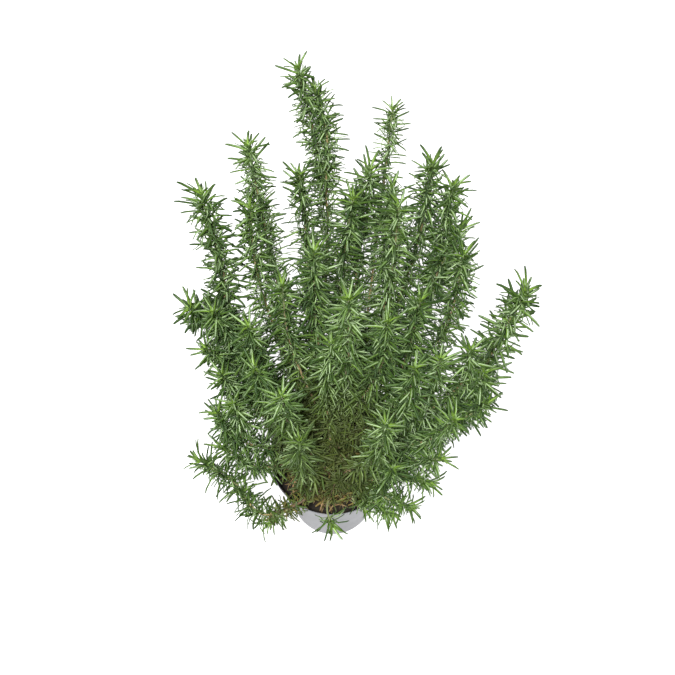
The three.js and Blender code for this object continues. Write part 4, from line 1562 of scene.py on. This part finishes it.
class ROSEMARY_OT_leafy_shoots(bpy.types.Operator):
    """Makes each leafy shoot: its green stem and its needles, with those of its side shoots."""

    bl_idname = "rosemary.leafy_shoots"
    bl_label = "Leafy shoots"

    def execute(self, context):
        sizes, colours = settings()
        lines = make_lines()
        starts = leafy_from(lines)
        green = needle_material(colours)
        stem = young_stem_material(colours)
        stems, needles = {}, {}
        for index, (name, *_) in enumerate(SHOOTS):
            rng = np.random.default_rng([SEED, SHOOT_SEEDS + index])
            line, start = lines[name], starts[name]
            stems.setdefault(node_of(name), []).append(self.stem(line, start))
            leafy = min(line.length - start, DROPPED.get(name, line.length))
            share = sizes.side_shoots * SPARSE.get(name, 1.0)
            large, small, spurs = plan_shoot(line, leafy, share, VIGOUR.get(name, 1.0), sizes, rng)
            stems[node_of(name)].append(spur_skins(spurs))
            needles.setdefault(node_of(name), []).extend(needle_families(large, small, sizes))
        for name in stems:
            node = f"leafy_shoot_{name}"
            add_skins(f"green_stem_{name}", stems[name], stem, "rosemary_leaf", node)
            add_skins(f"needles_{name}", needles[name], green, "rosemary_leaf", node)
        return {"FINISHED"}

    def stem(self, line, start):
        """Slightly square green stem with a ring at each joint, and younger towards its tip."""
        def relief(angle, distance):
            ridges = SHOOT_RIDGE * np.cos(4 * angle)
            waves = np.sin((line.length - distance) * TURN / JOINT_STEP)
            return ridges + JOINT_HEIGHT * np.maximum(0, waves) ** 6

        sunk = start - min(start, MM)
        skin = stem_skin(line, sunk, line.length, SHOOT_RADII, SHOOT_GRID, relief)
        below = np.linspace(line.length - sunk, 0, skin.rings.shape[1])
        youth = np.exp(-below / STEM_YOUTH_REACH)
        return skin.mark("youth", youth[:, None], youth[0], youth[-1])


class ROSEMARY_OT_stage(bpy.types.Operator):
    """Sets the pale floor, the soft lights and the camera."""

    bl_idname = "rosemary.stage"
    bl_label = "Stage"

    # Position, size and power of each soft light.
    LIGHTS = {
        "key_light": ((-0.18, -0.85, 2.2), 0.5, 72.0),
        "fill_light": ((1.6, -0.7, 1.7), 1.8, 5.0),
        "back_light": ((0.4, 1.9, 1.9), 1.5, 6.0),
    }
    AIM = Vector((0.0, 0.06, 0.22))
    ROOM_LIGHT = 0.3
    FLOOR_HALF = 4.0
    FLOOR_HEIGHT = -0.2 * MM
    CAMERA_PLACE = (0.0055, -0.48325, 1.20201)
    CAMERA_TILT = np.radians(30)
    LENS_MM = 60
    SENSOR_MM = 36
    CLIP_END = 30

    def execute(self, context):
        self.add_floor()
        for name, (place, size, power) in self.LIGHTS.items():
            self.add_light(name, Vector(place), size, power)
        world = bpy.data.worlds.new("soft_white_room")
        world.use_nodes = True
        background = world.node_tree.nodes["Background"]
        background.inputs["Color"].default_value = (1, 1, 1, 1)
        background.inputs["Strength"].default_value = self.ROOM_LIGHT
        context.scene.world = world
        context.scene.view_settings.view_transform = "Standard"
        self.add_camera()
        return {"FINISHED"}

    def add_floor(self):
        corners = np.array([[-1, -1], [1, -1], [1, 1], [-1, 1]]) * self.FLOOR_HALF
        points = np.column_stack([corners, np.full(4, self.FLOOR_HEIGHT)])
        mesh = make_mesh("studio_floor", points, np.array([[0, 1, 2, 3]]), np.zeros((0, 3), int), {})
        mesh.materials.append(floor_material())
        floor = show("studio_floor", mesh)

    def add_light(self, name, place, size, power):
        data = bpy.data.lights.new(name, "AREA")
        data.size = size
        data.energy = power
        light = show(name, data)
        light.location = place
        light.rotation_euler = (self.AIM - place).to_track_quat("-Z", "Y").to_euler()

    def add_camera(self):
        data = bpy.data.cameras.new("photo_camera")
        data.lens = self.LENS_MM
        data.sensor_width = self.SENSOR_MM
        data.clip_end = self.CLIP_END
        camera = show("photo_camera", data)
        camera.location = self.CAMERA_PLACE
        camera.rotation_euler = (self.CAMERA_TILT, 0, 0)
        bpy.context.scene.camera = camera


OPERATORS = (
    ROSEMARY_OT_pot,
    ROSEMARY_OT_soil,
    ROSEMARY_OT_woody_stems,
    ROSEMARY_OT_leafy_shoots,
    ROSEMARY_OT_stage,
)


class ROSEMARY_PT_plant(bpy.types.Panel):
    """Buttons for each part of the plant, with its sizes and colours."""

    bl_label = "Rosemary"
    bl_space_type = "VIEW_3D"
    bl_region_type = "UI"
    bl_category = "Rosemary"

    def draw(self, context):
        layout = self.layout
        for group in (context.scene.rosemary_sizes, context.scene.rosemary_colours):
            column = layout.column()
            for setting in group.bl_rna.properties.keys():
                if setting not in ("rna_type", "name"):
                    column.prop(group, setting)
        for operator in OPERATORS:
            layout.operator(operator.bl_idname)


CLASSES = (PlantSizes, PlantColours, *OPERATORS, ROSEMARY_PT_plant)


def register():
    for made in CLASSES:
        bpy.utils.register_class(made)
    bpy.types.Scene.rosemary_sizes = bpy.props.PointerProperty(type=PlantSizes)
    bpy.types.Scene.rosemary_colours = bpy.props.PointerProperty(type=PlantColours)


def unregister():
    del bpy.types.Scene.rosemary_colours
    del bpy.types.Scene.rosemary_sizes
    for made in reversed(CLASSES):
        bpy.utils.unregister_class(made)


def main():
    register()
    bpy.ops.rosemary.stage()
    bpy.ops.rosemary.pot()
    bpy.ops.rosemary.soil()
    bpy.ops.rosemary.woody_stems()
    bpy.ops.rosemary.leafy_shoots()


if __name__ == "__main__":
    main()
